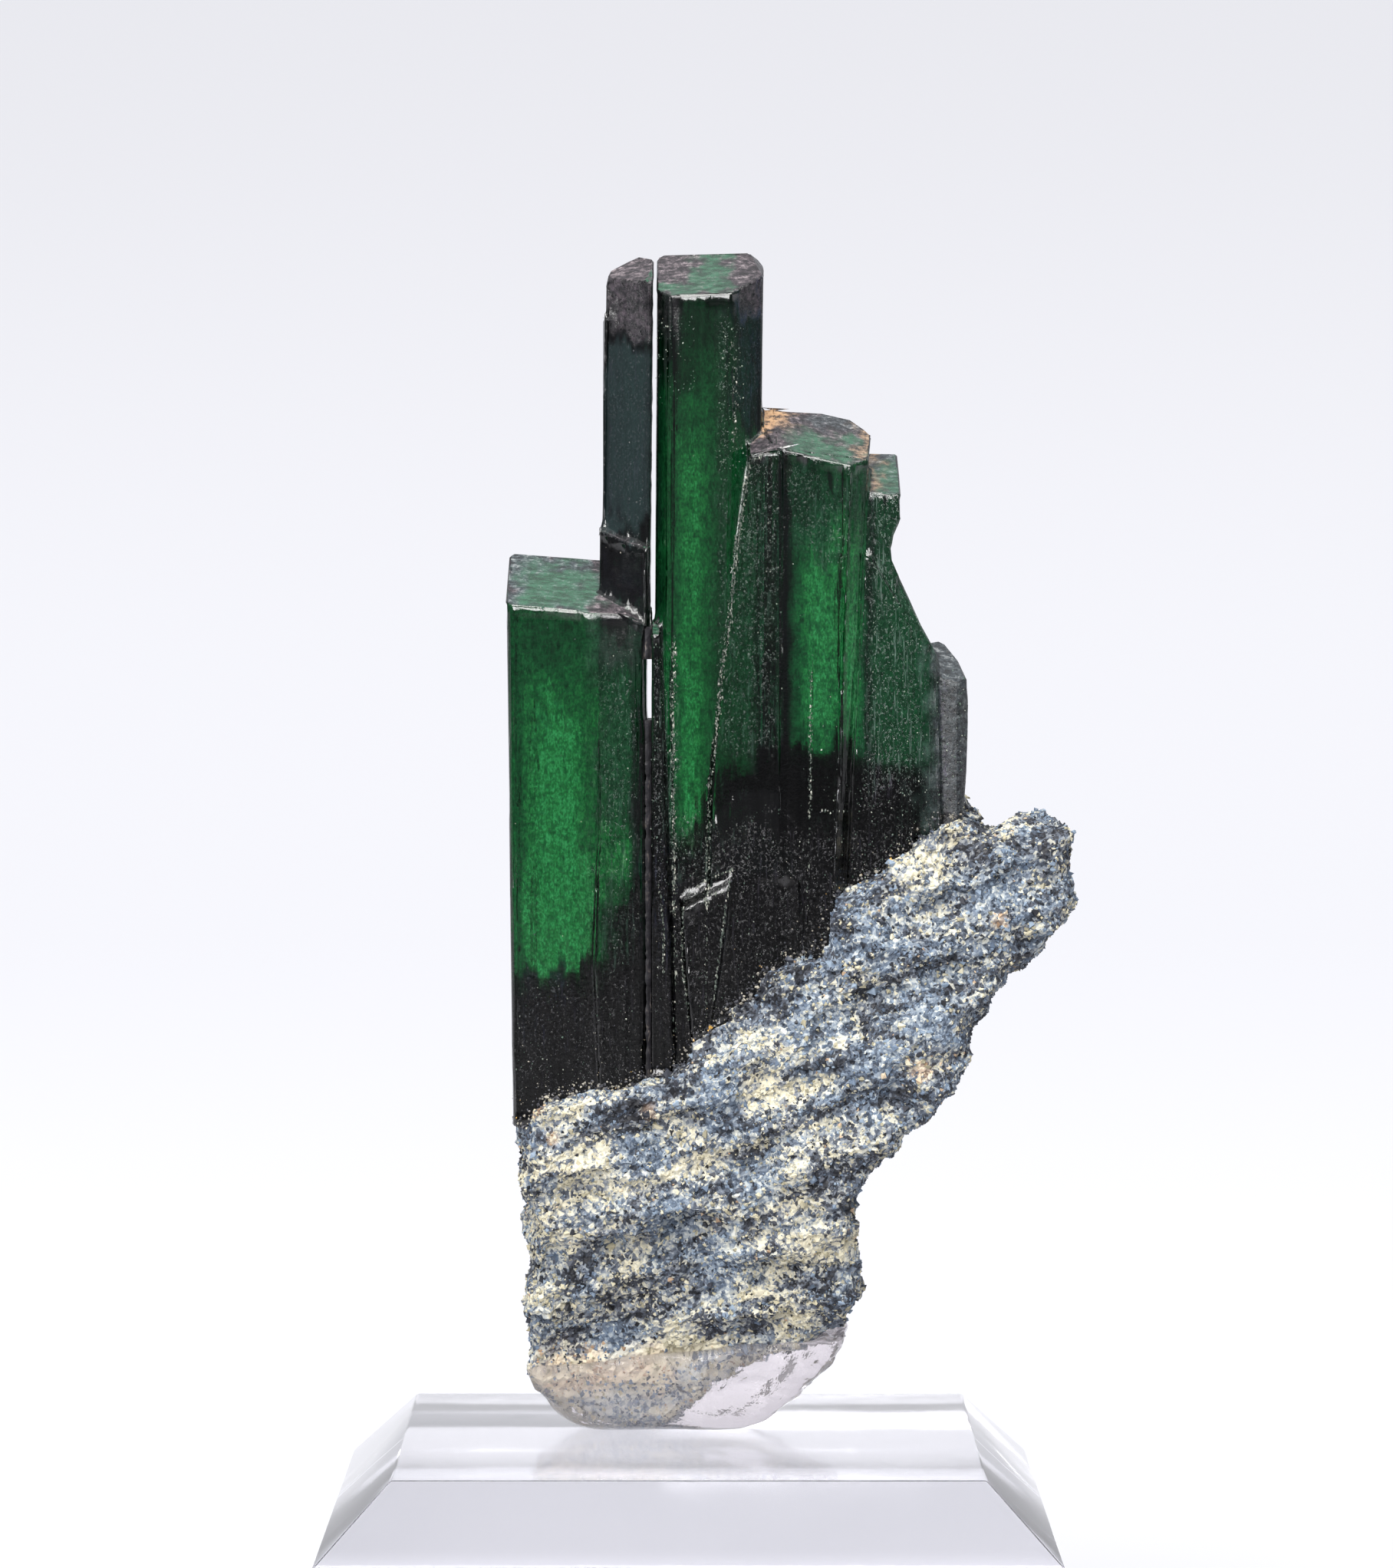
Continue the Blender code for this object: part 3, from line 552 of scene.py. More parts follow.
def stone_character(place):
    """Weights of the blue-grey, cream, dark and rust grains at a place in the stone, in millimetres."""
    along, across = bedded(place)
    bed = noise.noise(Vector((along * 0.13, place.y * 0.15, across * 0.75)))
    bed *= 1.0 - 0.6 * min(1.0, max(0.0, (place.z - 35.0) / 6.0))
    seam = noise.noise(Vector((along * 0.30, place.y * 0.4, across * 1.9 + 60.0)))
    spot = noise.noise(Vector((along * 0.75, place.y * 0.8, across * 1.3 + 30.0)))
    weights = [
        0.34 - 0.35 * bed + 0.8 * spot, 0.34 + 0.6 * bed + 0.5 * seam, 0.28 - 0.3 * bed - 0.5 * seam - 0.4 * spot, 0.01]
    arm = min(1.0, max(0.0, (place.x + place.z - 46.0) / 6.0))
    weights[CREAM] -= 0.10 * arm
    weights[BLUE] += 0.14 * arm
    weights[DARK] += 0.09 * arm
    # Fewer dark grains in the foot inside the gel: partly its paler colour, partly painted light making up for the
    # light the gel keeps off.
    weights[DARK] -= 0.2 * min(1.0, max(0.0, 24.6 - place.z))
    for (x, z), reach, kind in PATCHES:
        away = math.hypot(place.x - x, place.z - z) / reach
        if away < 1.0:
            broken = max(0.15, 0.6 + 2.2 * spot) if kind == RUST and reach > 1.0 else 1.0
            weights[kind] += 1.3 * broken * (1.0 - away * away)
    return [max(0.015, weight) for weight in weights]


def stone_skin(place):
    """Fine relief of the broken sandstone surface, in millimetres."""
    along, across = bedded(place)
    broad = noise.noise(place * 0.7)
    knobs = noise.noise(place * 1.5 + Vector((3.0, 8.0, 1.0)))
    grit = noise.noise(place * 3.4)
    sand = noise.noise(place * 6.3)
    bed = noise.noise(Vector((along * 0.25, place.y * 0.3, across * 1.5)))
    ledge = 0.5 * math.tanh(6.0 * bed)
    pit = max(0.0, knobs - 0.30)
    return -0.20 + 0.22 * broad + 0.18 * knobs + 0.15 * grit + 0.09 * sand + 0.16 * ledge - 1.0 * pit


STONE_SKIN_VOXEL = 0.22
CONTACT_REACH = 1.0
CONTACT_GAP = 0.6
CONTACT_DEPTH = 0.05
FOOT_TOP = 24.2
FOOT_RIGHT = 1.2
FOOT_MIDDLE = (-3.4, 24.0)
FOOT_SWELL = 0.5


def stone_material():
    graph = Graph("sandstone")
    tone = graph.attribute("tone")
    blue = graph.attribute("blue")
    rust = graph.attribute("rust")
    number = graph.cells(3.4)[1]
    small = graph.cells(6.5)[1]
    lightness = graph.math("MULTIPLY_ADD", number, 0.62, graph.math("MULTIPLY_ADD", small, 0.42, -0.52))
    lightness = graph.math("ADD", lightness, tone)
    colour = graph.ramp(lightness, [
        (0.08, linear(24, 25, 30)), (0.30, linear(63, 68, 78)), (0.46, linear(105, 111, 121)),
        (0.60, linear(146, 149, 149)), (0.74, linear(190, 185, 164)), (0.92, linear(218, 211, 186))])
    blueish = graph.ramp(lightness, [
        (0.08, linear(38, 44, 54)), (0.45, linear(94, 110, 129)), (0.75, linear(138, 154, 171)),
        (0.92, linear(190, 196, 196))])
    rusty = graph.ramp(lightness, [
        (0.1, linear(128, 104, 84)), (0.5, linear(190, 162, 132)), (0.9, linear(228, 210, 182))])
    colour = graph.mix(graph.times(blue, 0.75), colour, blueish)
    graph.set("Base Color", graph.mix(graph.times(rust, 0.85), colour, rusty))
    graph.set("Roughness", graph.math("MULTIPLY_ADD", small, 0.3, 0.55))
    graph.set("Normal", graph.bump(graph.cells(4.5)[0], 0.06, 0.8))
    return graph.material


def grown_on(trees, place):
    """Draw a place of the stone's skin that is close to a crystal onto the crystal's face."""
    for tree in trees:
        near, normal, index, distance = tree.find_nearest(place * MM)
        distance /= MM
        if distance < CONTACT_REACH:
            share = min(1.0, (CONTACT_REACH - distance) / (CONTACT_REACH - CONTACT_GAP))
            place = place.lerp(near / MM - normal * CONTACT_DEPTH, share)
    return place


def swollen_foot(place):
    """The foot fills the gel's left lobe almost to its outline."""
    share = min(1.0, max(0.0, (FOOT_TOP - place.z) / 1.6)) * min(1.0, max(0.0, (FOOT_RIGHT - place.x) / 1.0))
    outward = Vector((place.x - FOOT_MIDDLE[0], 0.0, place.z - FOOT_MIDDLE[1]))
    return place + outward.normalized() * FOOT_SWELL * share


def stone_piece(trees):
    shape = node_shape("sandstone_matrix")
    piece = shape_to_object("stone_surface", shape, None)
    remeshed(piece, STONE_SKIN_VOXEL, 2)
    places = [vertex.co / MM for vertex in piece.data.vertices]
    moved = [p + v.normal * stone_skin(p) for v, p in zip(piece.data.vertices, places)]
    for vertex, place in zip(piece.data.vertices, moved):
        vertex.co = swollen_foot(grown_on(trees, place)) * MM
    weights = np.array([stone_character(place) for place in places])
    weights /= weights.sum(axis=1)[:, None]
    away = np.array([min(tree.find_nearest(place * MM)[3] for tree in trees) for place in places]) / MM
    mesh = piece.data
    # Painted light: the foot inside the gel is made lighter, making up for the light the gel keeps off it.
    sunk = np.array([min(1.0, max(0.0, 24.6 - place.z)) for place in places])
    tone = 0.52 + 0.34 * weights[:, CREAM] - 0.40 * weights[:, DARK] + 0.38 * sunk
    # Painted shade: the stone darkens within about a millimetre of the crystals.
    add_values(mesh, "tone", tone - 0.20 * np.exp(-(away / 1.1) ** 2))
    add_values(mesh, "blue", np.clip(1.6 * weights[:, BLUE] - 0.2, 0.0, 1.0))
    add_values(mesh, "rust", np.clip(1.6 * weights[:, RUST] - 0.1, 0.0, 1.0))
    mesh.materials.clear()
    mesh.materials.append(stone_material())
    mesh.update()
    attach(piece, "root")
    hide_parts("sandstone_matrix")
    return piece


def grain_shapes(count):
    """Rough little eight-sided grains, as arrays of corners and one array of triangles."""
    corners = np.array([(1, 0, 0), (0, 1, 0), (-1, 0, 0), (0, -1, 0), (0, 0, 1), (0, 0, -1)]) * 0.5
    triangles = []
    for number in range(4):
        following = (number + 1) % 4
        triangles.append((number, following, 4))
        triangles.append((following, number, 5))
    shapes = [corners + random_numbers.uniform(-0.13, 0.13, corners.shape) for _ in range(count)]
    return np.array(shapes), np.array(triangles)


def random_turns(count):
    """Rotation matrices spread evenly over all directions."""
    turns = random_numbers.normal(size=(count, 4))
    turns /= np.linalg.norm(turns, axis=1)[:, None]
    w, x, y, z = turns.T
    rows = [
        [1 - 2 * (y * y + z * z), 2 * (x * y - z * w), 2 * (x * z + y * w)],
        [2 * (x * y + z * w), 1 - 2 * (x * x + z * z), 2 * (y * z - x * w)],
        [2 * (x * z - y * w), 2 * (y * z + x * w), 1 - 2 * (x * x + y * y)]]
    return np.array(rows).transpose(2, 0, 1)


def joined_grains(name, places, sizes, material, upright=1.0):
    """One mesh of many separate grains, which may be drawn out upward."""
    shapes, triangles = grain_shapes(12)
    count = len(places)
    chosen = shapes[random_numbers.integers(0, len(shapes), count)]
    squash = random_numbers.uniform(0.7, 1.25, (count, 1, 3))
    corners = np.einsum("nij,nkj->nki", random_turns(count), chosen * squash) * np.array((1.0, 1.0, upright))
    corners = corners * np.array(sizes)[:, None, None] + np.array(places)[:, None, :]
    faces = triangles[None] + (np.arange(count) * chosen.shape[1])[:, None, None]
    mesh = bpy.data.meshes.new(name)
    mesh.from_pydata(corners.reshape(-1, 3) * MM, [], faces.reshape(-1, 3))
    tone = mesh.attributes.new("tone", "FLOAT", "FACE")
    tone.data.foreach_set("value", np.repeat(random_numbers.uniform(0.0, 1.0, count), len(triangles)))
    piece = add_object(name, mesh, material)
    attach(piece, "root")
    return piece


def surface_samples(thing, count):
    """Points and outward directions spread evenly over a mesh, in millimetres."""
    mesh = thing.data
    mesh.calc_loop_triangles()
    corners = mesh_corners(mesh)
    triangles = np.zeros(len(mesh.loop_triangles) * 3, int)
    mesh.loop_triangles.foreach_get("vertices", triangles)
    a, b, c = [corners[column] for column in triangles.reshape(-1, 3).T]
    cross = np.cross(b - a, c - a)
    area = np.linalg.norm(cross, axis=1)
    chosen = random_numbers.choice(len(area), count, p=area / area.sum())
    first, second = random_numbers.uniform(size=(2, count, 1))
    fold = first + second > 1.0
    first, second = np.where(fold, 1.0 - first, first), np.where(fold, 1.0 - second, second)
    places = a[chosen] + first * (b - a)[chosen] + second * (c - a)[chosen]
    return places, cross[chosen] / area[chosen][:, None]


def crystal_trees():
    shapes = []
    for node in ("left_crystal_group", "main_crystal_group"):
        shape = node_shape(node)
        shapes.append(BVHTree.FromBMesh(shape))
        shape.free()
    return shapes


def crystal_distance(trees, place, outward):
    """How far a point on the stone is from the crystals, or nothing where it is in one or touches its face."""
    least = math.inf
    for tree in trees:
        near, normal, index, distance = tree.find_nearest(Vector(place) * MM)
        if (Vector(place) * MM - near).dot(normal) < 0.0:
            return None
        if distance < 0.3 * MM and normal.dot(Vector(outward)) < -0.5:
            return None
        least = min(least, distance / MM)
    return least


GRAIN_COUNT = 52000
GRAIN_LIMIT = 24000
GRAIN_SIZE = 0.21
GRAIN_SPREAD = 0.34


def grain_material(name, stops, roughness, clear=0.0):
    graph = Graph(name)
    shade = graph.math("ADD", graph.attribute("tone"), graph.math("MULTIPLY_ADD", graph.noise(3.0, 2.0), 0.4, -0.2))
    graph.set("Base Color", graph.ramp(shade, stops))
    graph.set("Roughness", graph.math("MULTIPLY_ADD", graph.attribute("tone"), 0.25, roughness))
    if clear > 0.0:
        graph.set("Subsurface Weight", clear)
        graph.set("Subsurface Scale", 0.2 * MM)
        graph.set("Subsurface Radius", (1.0, 0.9, 0.8))
    graph.set("Normal", graph.bump(graph.noise(9.0, 2.0), 0.02, 0.6))
    return graph.material


def grain_pieces(stone, trees):
    places, normals = surface_samples(stone, GRAIN_COUNT)
    kinds = [[], [], [], []]
    draws = random_numbers.uniform(size=GRAIN_COUNT)
    sizes = np.clip(random_numbers.lognormal(math.log(GRAIN_SIZE), GRAIN_SPREAD, GRAIN_COUNT), 0.10, 0.55)
    for place, normal, draw, size in zip(places, normals, draws, sizes):
        away = crystal_distance(trees, place, normal)
        if away is None:
            continue
        weights = np.array(stone_character(Vector(place)))
        # Painted shade: fewer cream and more dark grains close to the crystals.
        painted_shade_near_crystals = math.exp(-(away / 1.2) ** 2)
        weights[CREAM] *= 1.0 - 0.75 * painted_shade_near_crystals
        weights[DARK] += 0.25 * painted_shade_near_crystals
        kind = int(np.searchsorted(np.cumsum(weights) / weights.sum(), draw))
        kind = min(kind, RUST)
        if len(kinds[kind]) < GRAIN_LIMIT:
            kinds[kind].append((place - normal * 0.16 * size, size))
    looks = [
        ("blue_grains", grain_material("blue_grain", [
            (0.0, linear(60, 70, 84)), (0.5, linear(97, 113, 133)), (1.0, linear(146, 162, 178))], 0.5)),
        ("cream_grains", grain_material("cream_grain", [
            (0.0, linear(142, 137, 116)), (0.45, linear(188, 180, 151)), (1.0, linear(214, 207, 182))], 0.5, 0.25)),
        ("dark_grains", grain_material("dark_grain", [
            (0.0, linear(16, 17, 21)), (0.6, linear(44, 46, 54)), (1.0, linear(84, 88, 98))], 0.4)),
        ("rust_grains", grain_material("rust_grain", [
            (0.0, linear(138, 112, 88)), (0.5, linear(188, 160, 130)), (1.0, linear(224, 206, 178))], 0.45))]
    for (name, material), members in zip(looks, kinds):
        if members:
            joined_grains(name, [m[0] for m in members], [m[1] for m in members], material)
    print("grains", [len(members) for members in kinds])


# Rough pale ridges where the crystals meet: points from the front in millimetres, width, and shards per millimetre
RIDGES = [
    ([(3.15, 70.9), (2.55, 66.8), (2.1, 62.3), (1.7, 59.8), (1.38, 56.1), (1.1, 54.0), (0.95, 47.5)], 0.13, 44.0),
    ([(0.95, 47.5), (0.9, 41.6)], 0.10, 6.0), ([(2.3, 77.2), (2.45, 74.5), (2.3, 72.0)], 0.16, 12.0),
    ([(-0.75, 61.5), (-0.85, 58.0), (-0.8, 52.0), (-0.75, 47.0)], 0.14, 28.0), ([(-0.75, 47.0), (-0.75, 41.0)], 0.10, 8.0),
    ([(6.4, 60.0), (6.35, 52.2)], 0.10, 22.0), ([(6.35, 52.2), (6.15, 46.0)], 0.08, 5.0),
    ([(-0.4, 47.9), (0.9, 49.0), (2.3, 49.6)], 0.06, 16.0), ([(0.9, 48.2), (2.2, 48.5)], 0.05, 10.0),
    ([(2.2, 49.6), (1.8, 46.5), (1.3, 42.6)], 0.08, 18.0), ([(-0.3, 47.9), (-0.35, 44.5), (0.05, 41.4)], 0.10, 18.0),
    ([(-1.6, 48.8), (-1.3, 46.5), (-1.35, 44.0)], 0.07, 14.0), ([(3.3, 71.0), (4.0, 71.4)], 0.30, 36.0),
    ([(-2.15, 47.6), (-2.2, 39.4)], 0.08, 12.0), ([(6.9, 52.7), (8.4, 52.6)], 0.05, 12.0)]
RIDGE_SHARD = 0.06


def front_place(trees, x, z):
    """The first crystal surface met from the front, in millimetres, or nothing."""
    best = None
    for tree in trees:
        hit = tree.ray_cast(Vector((x, -12.0, z)) * MM, Vector((0.0, 1.0, 0.0)))[0]
        if hit is not None and (best is None or hit.y < best.y):
            best = hit
    return None if best is None else best / MM


def ridge_material():
    graph = Graph("pale_ridge")
    graph.set("Base Color", graph.ramp(graph.attribute("tone"), [
        (0.0, linear(30, 42, 36)), (0.5, linear(76, 86, 78)), (0.85, linear(128, 132, 122)),
        (1.0, linear(204, 202, 190))]))
    graph.set("Roughness", graph.math("MULTIPLY_ADD", graph.noise(6.0, 2.0), 0.3, 0.25))
    graph.set("Normal", graph.bump(graph.noise(9.0, 2.0), 0.02, 0.6))
    return graph.material


def ridge_piece(trees):
    places = []
    sizes = []
    for points, width, density in RIDGES:
        for (x1, z1), (x2, z2) in zip(points, points[1:]):
            count = int(density * math.hypot(x2 - x1, z2 - z1))
            for part in random_numbers.uniform(size=count):
                x = x1 + (x2 - x1) * part + random_numbers.normal() * 0.5 * width
                z = z1 + (z2 - z1) * part
                place = front_place(trees, x, z)
                if place is not None and place.y < -1.0:
                    places.append(place)
                    sizes.append(np.clip(random_numbers.lognormal(math.log(RIDGE_SHARD), 0.4), 0.035, 0.16))
    joined_grains("pale_ridges", places, sizes, ridge_material(), upright=1.9)


# Dust on the crystals just above the stone, and scattered higher up
DUST_TRIALS = 62000
DUST_REACH = 2.6

# Places on the crystals with bright specks, from the front: left, right, bottom, top and how many
SPARKLES = [
    (9.4, 12.8, 50.6, 64.0, 240), (9.6, 11.0, 64.0, 69.0, 60), (7.0, 12.0, 46.0, 54.5, 260), (-1.9, 0.3, 74.0, 78.6, 110),
    (1.6, 2.9, 70.0, 78.0, 120), (-2.0, -0.8, 50.0, 61.5, 120), (3.0, 4.9, 56.0, 70.0, 80), (-1.8, 6.0, 42.0, 53.0, 160),
    (-9.3, -2.6, 38.5, 43.5, 90), (-4.6, -2.6, 44.0, 62.0, 60), (5.4, 9.2, 54.0, 70.0, 40), (13.0, 14.6, 52.6, 60.0, 160)]


def dust_material():
    graph = Graph("mineral_dust")
    graph.set("Base Color", graph.ramp(graph.attribute("tone"), [
        (0.0, linear(34, 36, 44)), (0.5, linear(80, 80, 86)), (0.975, linear(172, 166, 150)),
        (0.99, linear(196, 150, 66)), (1.0, linear(220, 180, 92))]))
    graph.set("Roughness", graph.math("MULTIPLY_ADD", graph.noise(6.0, 2.0), 0.3, 0.3))
    graph.set("Normal", graph.bump(graph.noise(9.0, 2.0), 0.02, 0.6))
    return graph.material


def sparkle_material():
    graph = Graph("bright_speck")
    graph.set("Base Color", graph.ramp(graph.attribute("tone"), [
        (0.0, linear(38, 54, 46)), (0.7, linear(84, 104, 92)), (1.0, linear(178, 184, 170))]))
    graph.set("Roughness", graph.math("MULTIPLY_ADD", graph.noise(6.0, 2.0), 0.3, 0.2))
    graph.set("Normal", graph.bump(graph.noise(9.0, 2.0), 0.02, 0.6))
    return graph.material


def dust_piece(crystals, stone_tree):
    places = []
    sizes = []
    for crystal in crystals:
        samples, normals = surface_samples(crystal, DUST_TRIALS)
        for place, draw in zip(samples, random_numbers.uniform(size=len(samples))):
            distance = stone_tree.find_nearest(Vector(place) * MM)[3] / MM
            share = 0.002 + 0.6 * math.exp(-(distance / 0.7) ** 2) + 0.04 * math.exp(-(distance / DUST_REACH) ** 2)
            if draw < share:
                places.append(place)
                middle = 0.055 + 0.11 * math.exp(-(distance / 0.5) ** 2)
                sizes.append(np.clip(random_numbers.lognormal(math.log(middle), 0.35), 0.04, 0.30))
    joined_grains("mineral_dust", places, sizes, dust_material())


def sparkle_piece(trees):
    places = []
    for left, right, low, high, count in SPARKLES:
        for part, rise in random_numbers.uniform(size=(count, 2)):
            place = front_place(trees, left + (right - left) * part, low + (high - low) * rise)
            if place is not None and place.y < 0.0:
                places.append(place)
    sizes = np.clip(random_numbers.lognormal(math.log(0.045), 0.4, len(places)), 0.03, 0.12)
    joined_grains("bright_specks", places, sizes, sparkle_material(), upright=1.3)


# The narrow slit between the groups is closed low down and at a few points higher up: bottom, top and front
SEAM_FILLS = [(37.5, 57.4, -4.28), (60.6, 62.3, -4.2)]
SEAM_LEFT = -2.6
SEAM_RIGHT = -1.82


# The filling is mostly near black: its colour paints the shade deep inside the narrow slit, with a few paler streaks.
def seam_material():
    graph = Graph("slit_filling")
    streak = graph.noise(3.0, 3.0, 0.6, graph.stretched((1.5, 1.5, 0.35)))
    graph.set("Base Color", graph.ramp(streak, [
        (0.36, linear(16, 15, 18)), (0.58, linear(34, 33, 38)), (0.68, linear(84, 78, 74)),
        (0.78, linear(150, 140, 128))]))
    graph.set("Roughness", 0.5)
    graph.set("Normal", graph.bump(graph.noise(5.0, 3.0), 0.05, 0.7))
    return graph.material


def seam_piece():
    shape = bmesh.new()
    for bottom, top, face in SEAM_FILLS:
        rows = max(3, int((top - bottom) / 0.18))
        rings = []
        for row in range(rows + 1):
            z = bottom + (top - bottom) * row / rows
            front = face + 0.12 * noise.noise(Vector((0.0, 0.0, z * 1.7))) + 0.08 * noise.noise(Vector((5.0, 0.0, z * 5.0)))
            ring = []
            for x, y in ((SEAM_LEFT, -0.9), (SEAM_LEFT, front + 0.3), (-2.3, front), (-2.1, front + 0.02),
                         (SEAM_RIGHT, front + 0.3), (SEAM_RIGHT, -0.9)):
                ring.append(shape.verts.new(Vector((x, y, z)) * MM))
            rings.append(ring)
        for low, high in zip(rings, rings[1:]):
            for index in range(len(low)):
                following = (index + 1) % len(low)
                shape.faces.new((low[index], low[following], high[following], high[index]))
        shape.faces.new(rings[0])
        shape.faces.new(list(reversed(rings[-1])))
    bmesh.ops.recalc_face_normals(shape, faces=shape.faces)
    piece = shape_to_object("slit_filling", shape, seam_material(), smooth_angle=40.0)
    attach(piece, "root")


# Gel and block

def gel_material():
    graph = Graph("clear_gel")
    graph.set("Base Color", (0.92, 0.89, 0.92, 1.0))
    graph.set("Transmission Weight", 0.90)
    graph.set("Roughness", graph.step(graph.noise(0.8, 3.0), 0.4, 0.7, 0.06, 0.26))
    graph.set("IOR", 1.35)
    graph.set("Normal", graph.bump(graph.noise(1.7, 3.0), 0.16, 0.6))
    graph.absorb(34.0, (0.76, 0.68, 0.71))
    return graph.material


GEL_RIM = (0.0, 0.0, 23.6)
GEL_RIM_NORMAL = (-0.11, 0.0, 1.0)


def gel_lumps(place):
    """Height of the gel's wrinkles and trapped bubbles, in millimetres."""
    swell = 0.22 * noise.noise(place * 0.5)
    blob = noise.noise(place * 1.25 + Vector((2.0, 0.0, 4.0)))
    right = min(1.0, max(0.0, place.x - 0.5))
    folds = 0.5 - abs(noise.noise(place * 1.7 + Vector((1.0, 9.0, 4.0))))
    return swell + 0.07 * blob + 0.16 * right * folds + 0.03 * noise.noise(place * 3.0)


def gel_piece():
    """The gel with the stone's foot sunk in it, so that no air shows between the two."""
    shape = node_shape("mounting_gel")
    foot = node_shape("sandstone_matrix")
    everything = foot.verts[:] + foot.edges[:] + foot.faces[:]
    bmesh.ops.bisect_plane(
        foot, geom=everything, dist=1e-8, plane_co=Vector(GEL_RIM) * MM, plane_no=Vector(GEL_RIM_NORMAL),
        clear_outer=True)
    bmesh.ops.holes_fill(foot, edges=[e for e in foot.edges if e.is_boundary])
    bmesh.ops.recalc_face_normals(foot, faces=foot.faces)
    for vertex in foot.verts:
        vertex.co = vertex.co + vertex.normal * 0.3 * MM
    mesh = bpy.data.meshes.new("foot")
    foot.to_mesh(mesh)
    foot.free()
    shape.from_mesh(mesh)
    bpy.data.meshes.remove(mesh)
    piece = shape_to_object("gel_blob", shape, None)
    remeshed(piece, 0.20, 6)
    moved = []
    for vertex in piece.data.vertices:
        place = vertex.co / MM
        free = min(1.0, max(0.0, (place.z - 19.4) / 0.8))
        moved.append(vertex.co + vertex.normal * (gel_lumps(place) - 0.05) * free * MM)
    for vertex, place in zip(piece.data.vertices, moved):
        vertex.co = place
    piece.data.shade_smooth()
    piece.data.materials.clear()
    piece.data.materials.append(gel_material())
    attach(piece, "root")
    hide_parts("mounting_gel")
    return piece


def acrylic_material():
    graph = Graph("clear_acrylic")
    graph.set("Base Color", (0.985, 0.98, 0.995, 1.0))
    graph.set("Transmission Weight", 1.0)
    scuffed = graph.step(graph.noise(0.12, 4.0, 0.7), 0.3, 0.8, 0.08, 0.20)
    graph.set("Roughness", graph.times(graph.facing_up(0.8, 0.95), scuffed))
    graph.set("IOR", 1.49)
    graph.absorb(3.5, (0.76, 0.75, 0.94))
    return graph.material


BLOCK_ROUND = 0.12


def block_piece():
    shape = node_shape("acrylic_base")
    bmesh.ops.dissolve_limit(shape, angle_limit=math.radians(1.0), verts=shape.verts, edges=shape.edges)
    bmesh.ops.bevel(
        shape, geom=shape.edges[:], offset=BLOCK_ROUND * MM, segments=3, profile=0.5, affect="EDGES")
    piece = shape_to_object("display_block", shape, acrylic_material(), smooth_angle=30.0)
    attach(piece, "root")
    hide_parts("acrylic_base")
    return piece


# Studio

FLOOR_HALF = 1.5
SWEEP_BACK = 0.55
SWEEP_RADIUS = 0.25
SWEEP_TOP = 1.2
AIR = (0.86, 0.88, 0.96, 1.0)
AIR_STRENGTH = 0.22


def paper_material():
    """Pale paper that glows as painted light: a painted shadow around the block, a painted bright patch under it, less
    glow at the sides and up the wall, and darker paper that stops glowing toward the camera, as painted shade.
    """
    graph = Graph("studio_paper")
    x, y, z = graph.place_in_mm()
    away = graph.math("SQRT", graph.math("ADD", graph.times(x, x), graph.times(y, y)))
    front = graph.step(y, -300.0, -20.0)
    # Painted shade: the glow falls off out at the sides.
    sides = graph.step(graph.math("ABSOLUTE", x), 260.0, 620.0, 1.0, 0.45)
    # Painted shadow: the floor glows less within about 120 mm of the block.
    low = graph.step(away, 25.0, 120.0, 0.60, 0.76)
    reach = graph.larger(graph.math("ABSOLUTE", x), graph.math("ABSOLUTE", y))
    # Painted light: a bright patch in the floor's glow under the block.
    low = graph.math("ADD", low, graph.step(reach, 18.5, 20.5, 0.26, 0.0))
    # Painted shade: the glow drops a little up the wall.
    high = graph.step(z, 20.0, 170.0, 0.0, 1.0)
    painted_glow = graph.times(graph.math("SUBTRACT", low, graph.times(high, 0.12)), sides)
    # Painted shade: toward the camera the paper is darker and its glow fades out.
    graph.set("Base Color", graph.mix(front, (0.08, 0.08, 0.085, 1.0), (0.22, 0.22, 0.23, 1.0)))
    graph.set("Roughness", 0.9)
    graph.set("Emission Color", (0.945, 0.95, 1.0, 1.0))
    graph.set("Emission Strength", graph.times(painted_glow, front))
    return graph.material


def studio():
    shape = bmesh.new()
    profile = [(-FLOOR_HALF, 0.0)]
    for part in range(13):
        turn = 0.5 * math.pi * part / 12
        profile.append((SWEEP_BACK + SWEEP_RADIUS * math.sin(turn), SWEEP_RADIUS * (1.0 - math.cos(turn))))
    profile.append((SWEEP_BACK + SWEEP_RADIUS, SWEEP_TOP))
    rows = [[shape.verts.new((x, y, z - 0.00002)) for y, z in profile] for x in (-FLOOR_HALF, FLOOR_HALF)]
    for index in range(len(profile) - 1):
        shape.faces.new((rows[0][index], rows[1][index], rows[1][index + 1], rows[0][index + 1]))
    sweep = shape_to_object("studio_sweep", shape, paper_material(), 60.0)


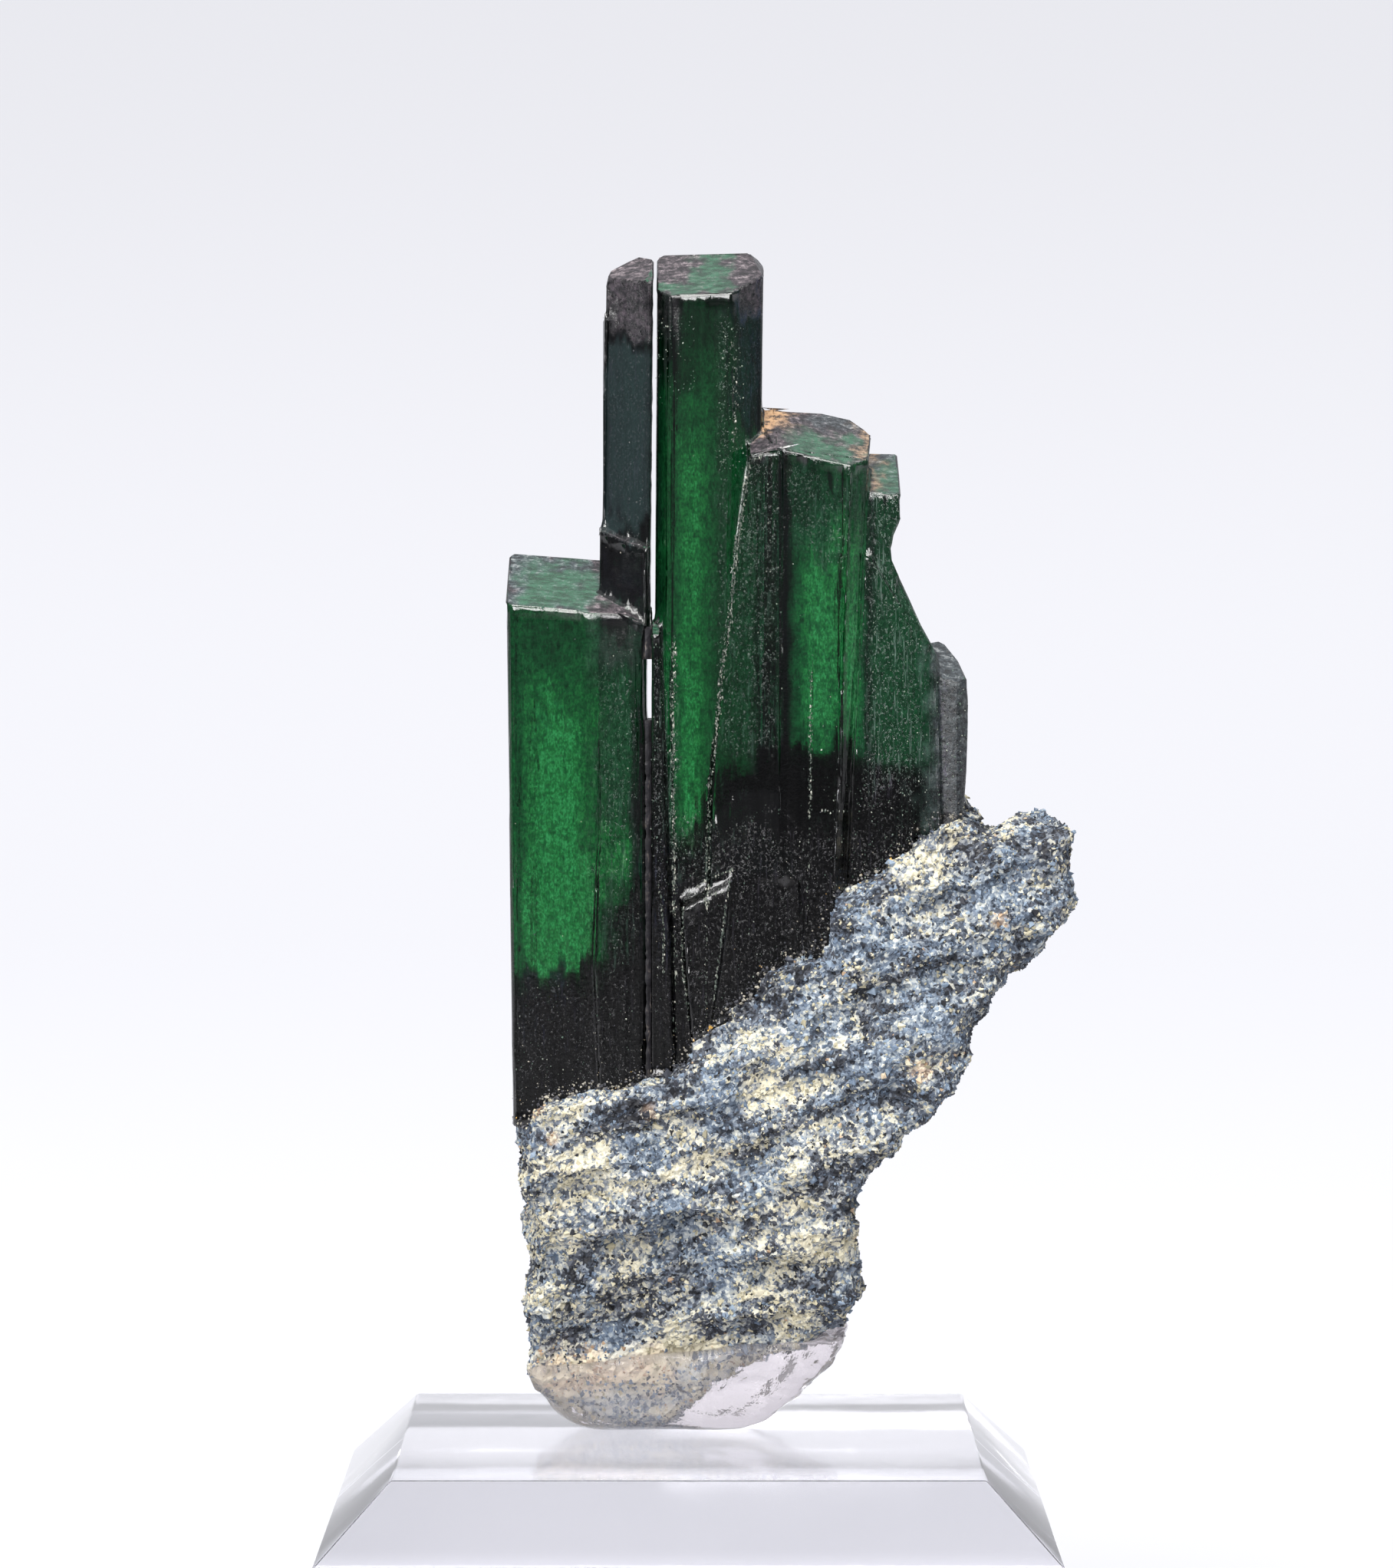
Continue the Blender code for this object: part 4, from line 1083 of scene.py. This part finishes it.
def area_light(name, place, aim, size, power, colour):
    light = bpy.data.lights.new(name, "AREA")
    light.shape = "RECTANGLE"
    light.size, light.size_y = size
    light.energy = power
    light.color = colour
    lamp = bpy.data.objects.new(name, light)
    bpy.context.scene.collection.objects.link(lamp)
    lamp.location = place
    lamp.rotation_euler = (Vector(aim) - Vector(place)).to_track_quat("-Z", "Y").to_euler()


def lights():
    world = bpy.data.worlds.new("studio_air")
    world.use_nodes = True
    world.node_tree.nodes["Background"].inputs["Color"].default_value = AIR
    world.node_tree.nodes["Background"].inputs["Strength"].default_value = AIR_STRENGTH
    bpy.context.scene.world = world
    area_light("key_softbox", (0.02, -0.25, 0.50), (0.0, 0.0, 0.05), (0.40, 0.20), 2.75, (1.0, 0.985, 0.96))
    area_light("top_softbox", (0.0, 0.24, 0.50), (0.0, 0.0, 0.07), (0.40, 0.30), 0.16, (0.97, 0.98, 1.0))
    area_light("ceiling", (0.0, -0.2, 0.90), (0.0, -0.2, 0.0), (1.6, 1.4), 4.2, (0.97, 0.98, 1.0))
    area_light("front_softbox", (-0.16, -0.60, 0.34), (0.0, 0.0, 0.04), (0.40, 0.30), 4.9, (1.0, 0.99, 0.99))


def camera():
    data = bpy.data.cameras.new("photo_camera")
    data.lens = CAMERA_LENS
    data.sensor_width = SENSOR
    data.clip_start = 0.01
    viewer = bpy.data.objects.new("photo_camera", data)
    bpy.context.scene.collection.objects.link(viewer)
    viewer.location = Vector(CAMERA_PLACE) * MM
    viewer.rotation_euler = (math.radians(90.0 - CAMERA_PITCH), 0.0, 0.0)
    bpy.context.scene.camera = viewer


camera()
lights()
studio()
bpy.context.scene.view_settings.view_transform = "Standard"
crystal_look = crystal_material()
left_crystals = crystal_piece("left_crystals", "left_crystal_group", crystal_look)
main_crystals = crystal_piece("main_crystals", "main_crystal_group", crystal_look)
trees = crystal_trees()
stone = stone_piece(trees)
grain_pieces(stone, trees)
ridge_piece(trees)
sparkle_piece(trees)
stone_shape = bmesh.new()
stone_shape.from_mesh(stone.data)
dust_piece([left_crystals, main_crystals], BVHTree.FromBMesh(stone_shape))
stone_shape.free()
seam_piece()
gel_piece()
block_piece()

bpy.context.view_layer.update()
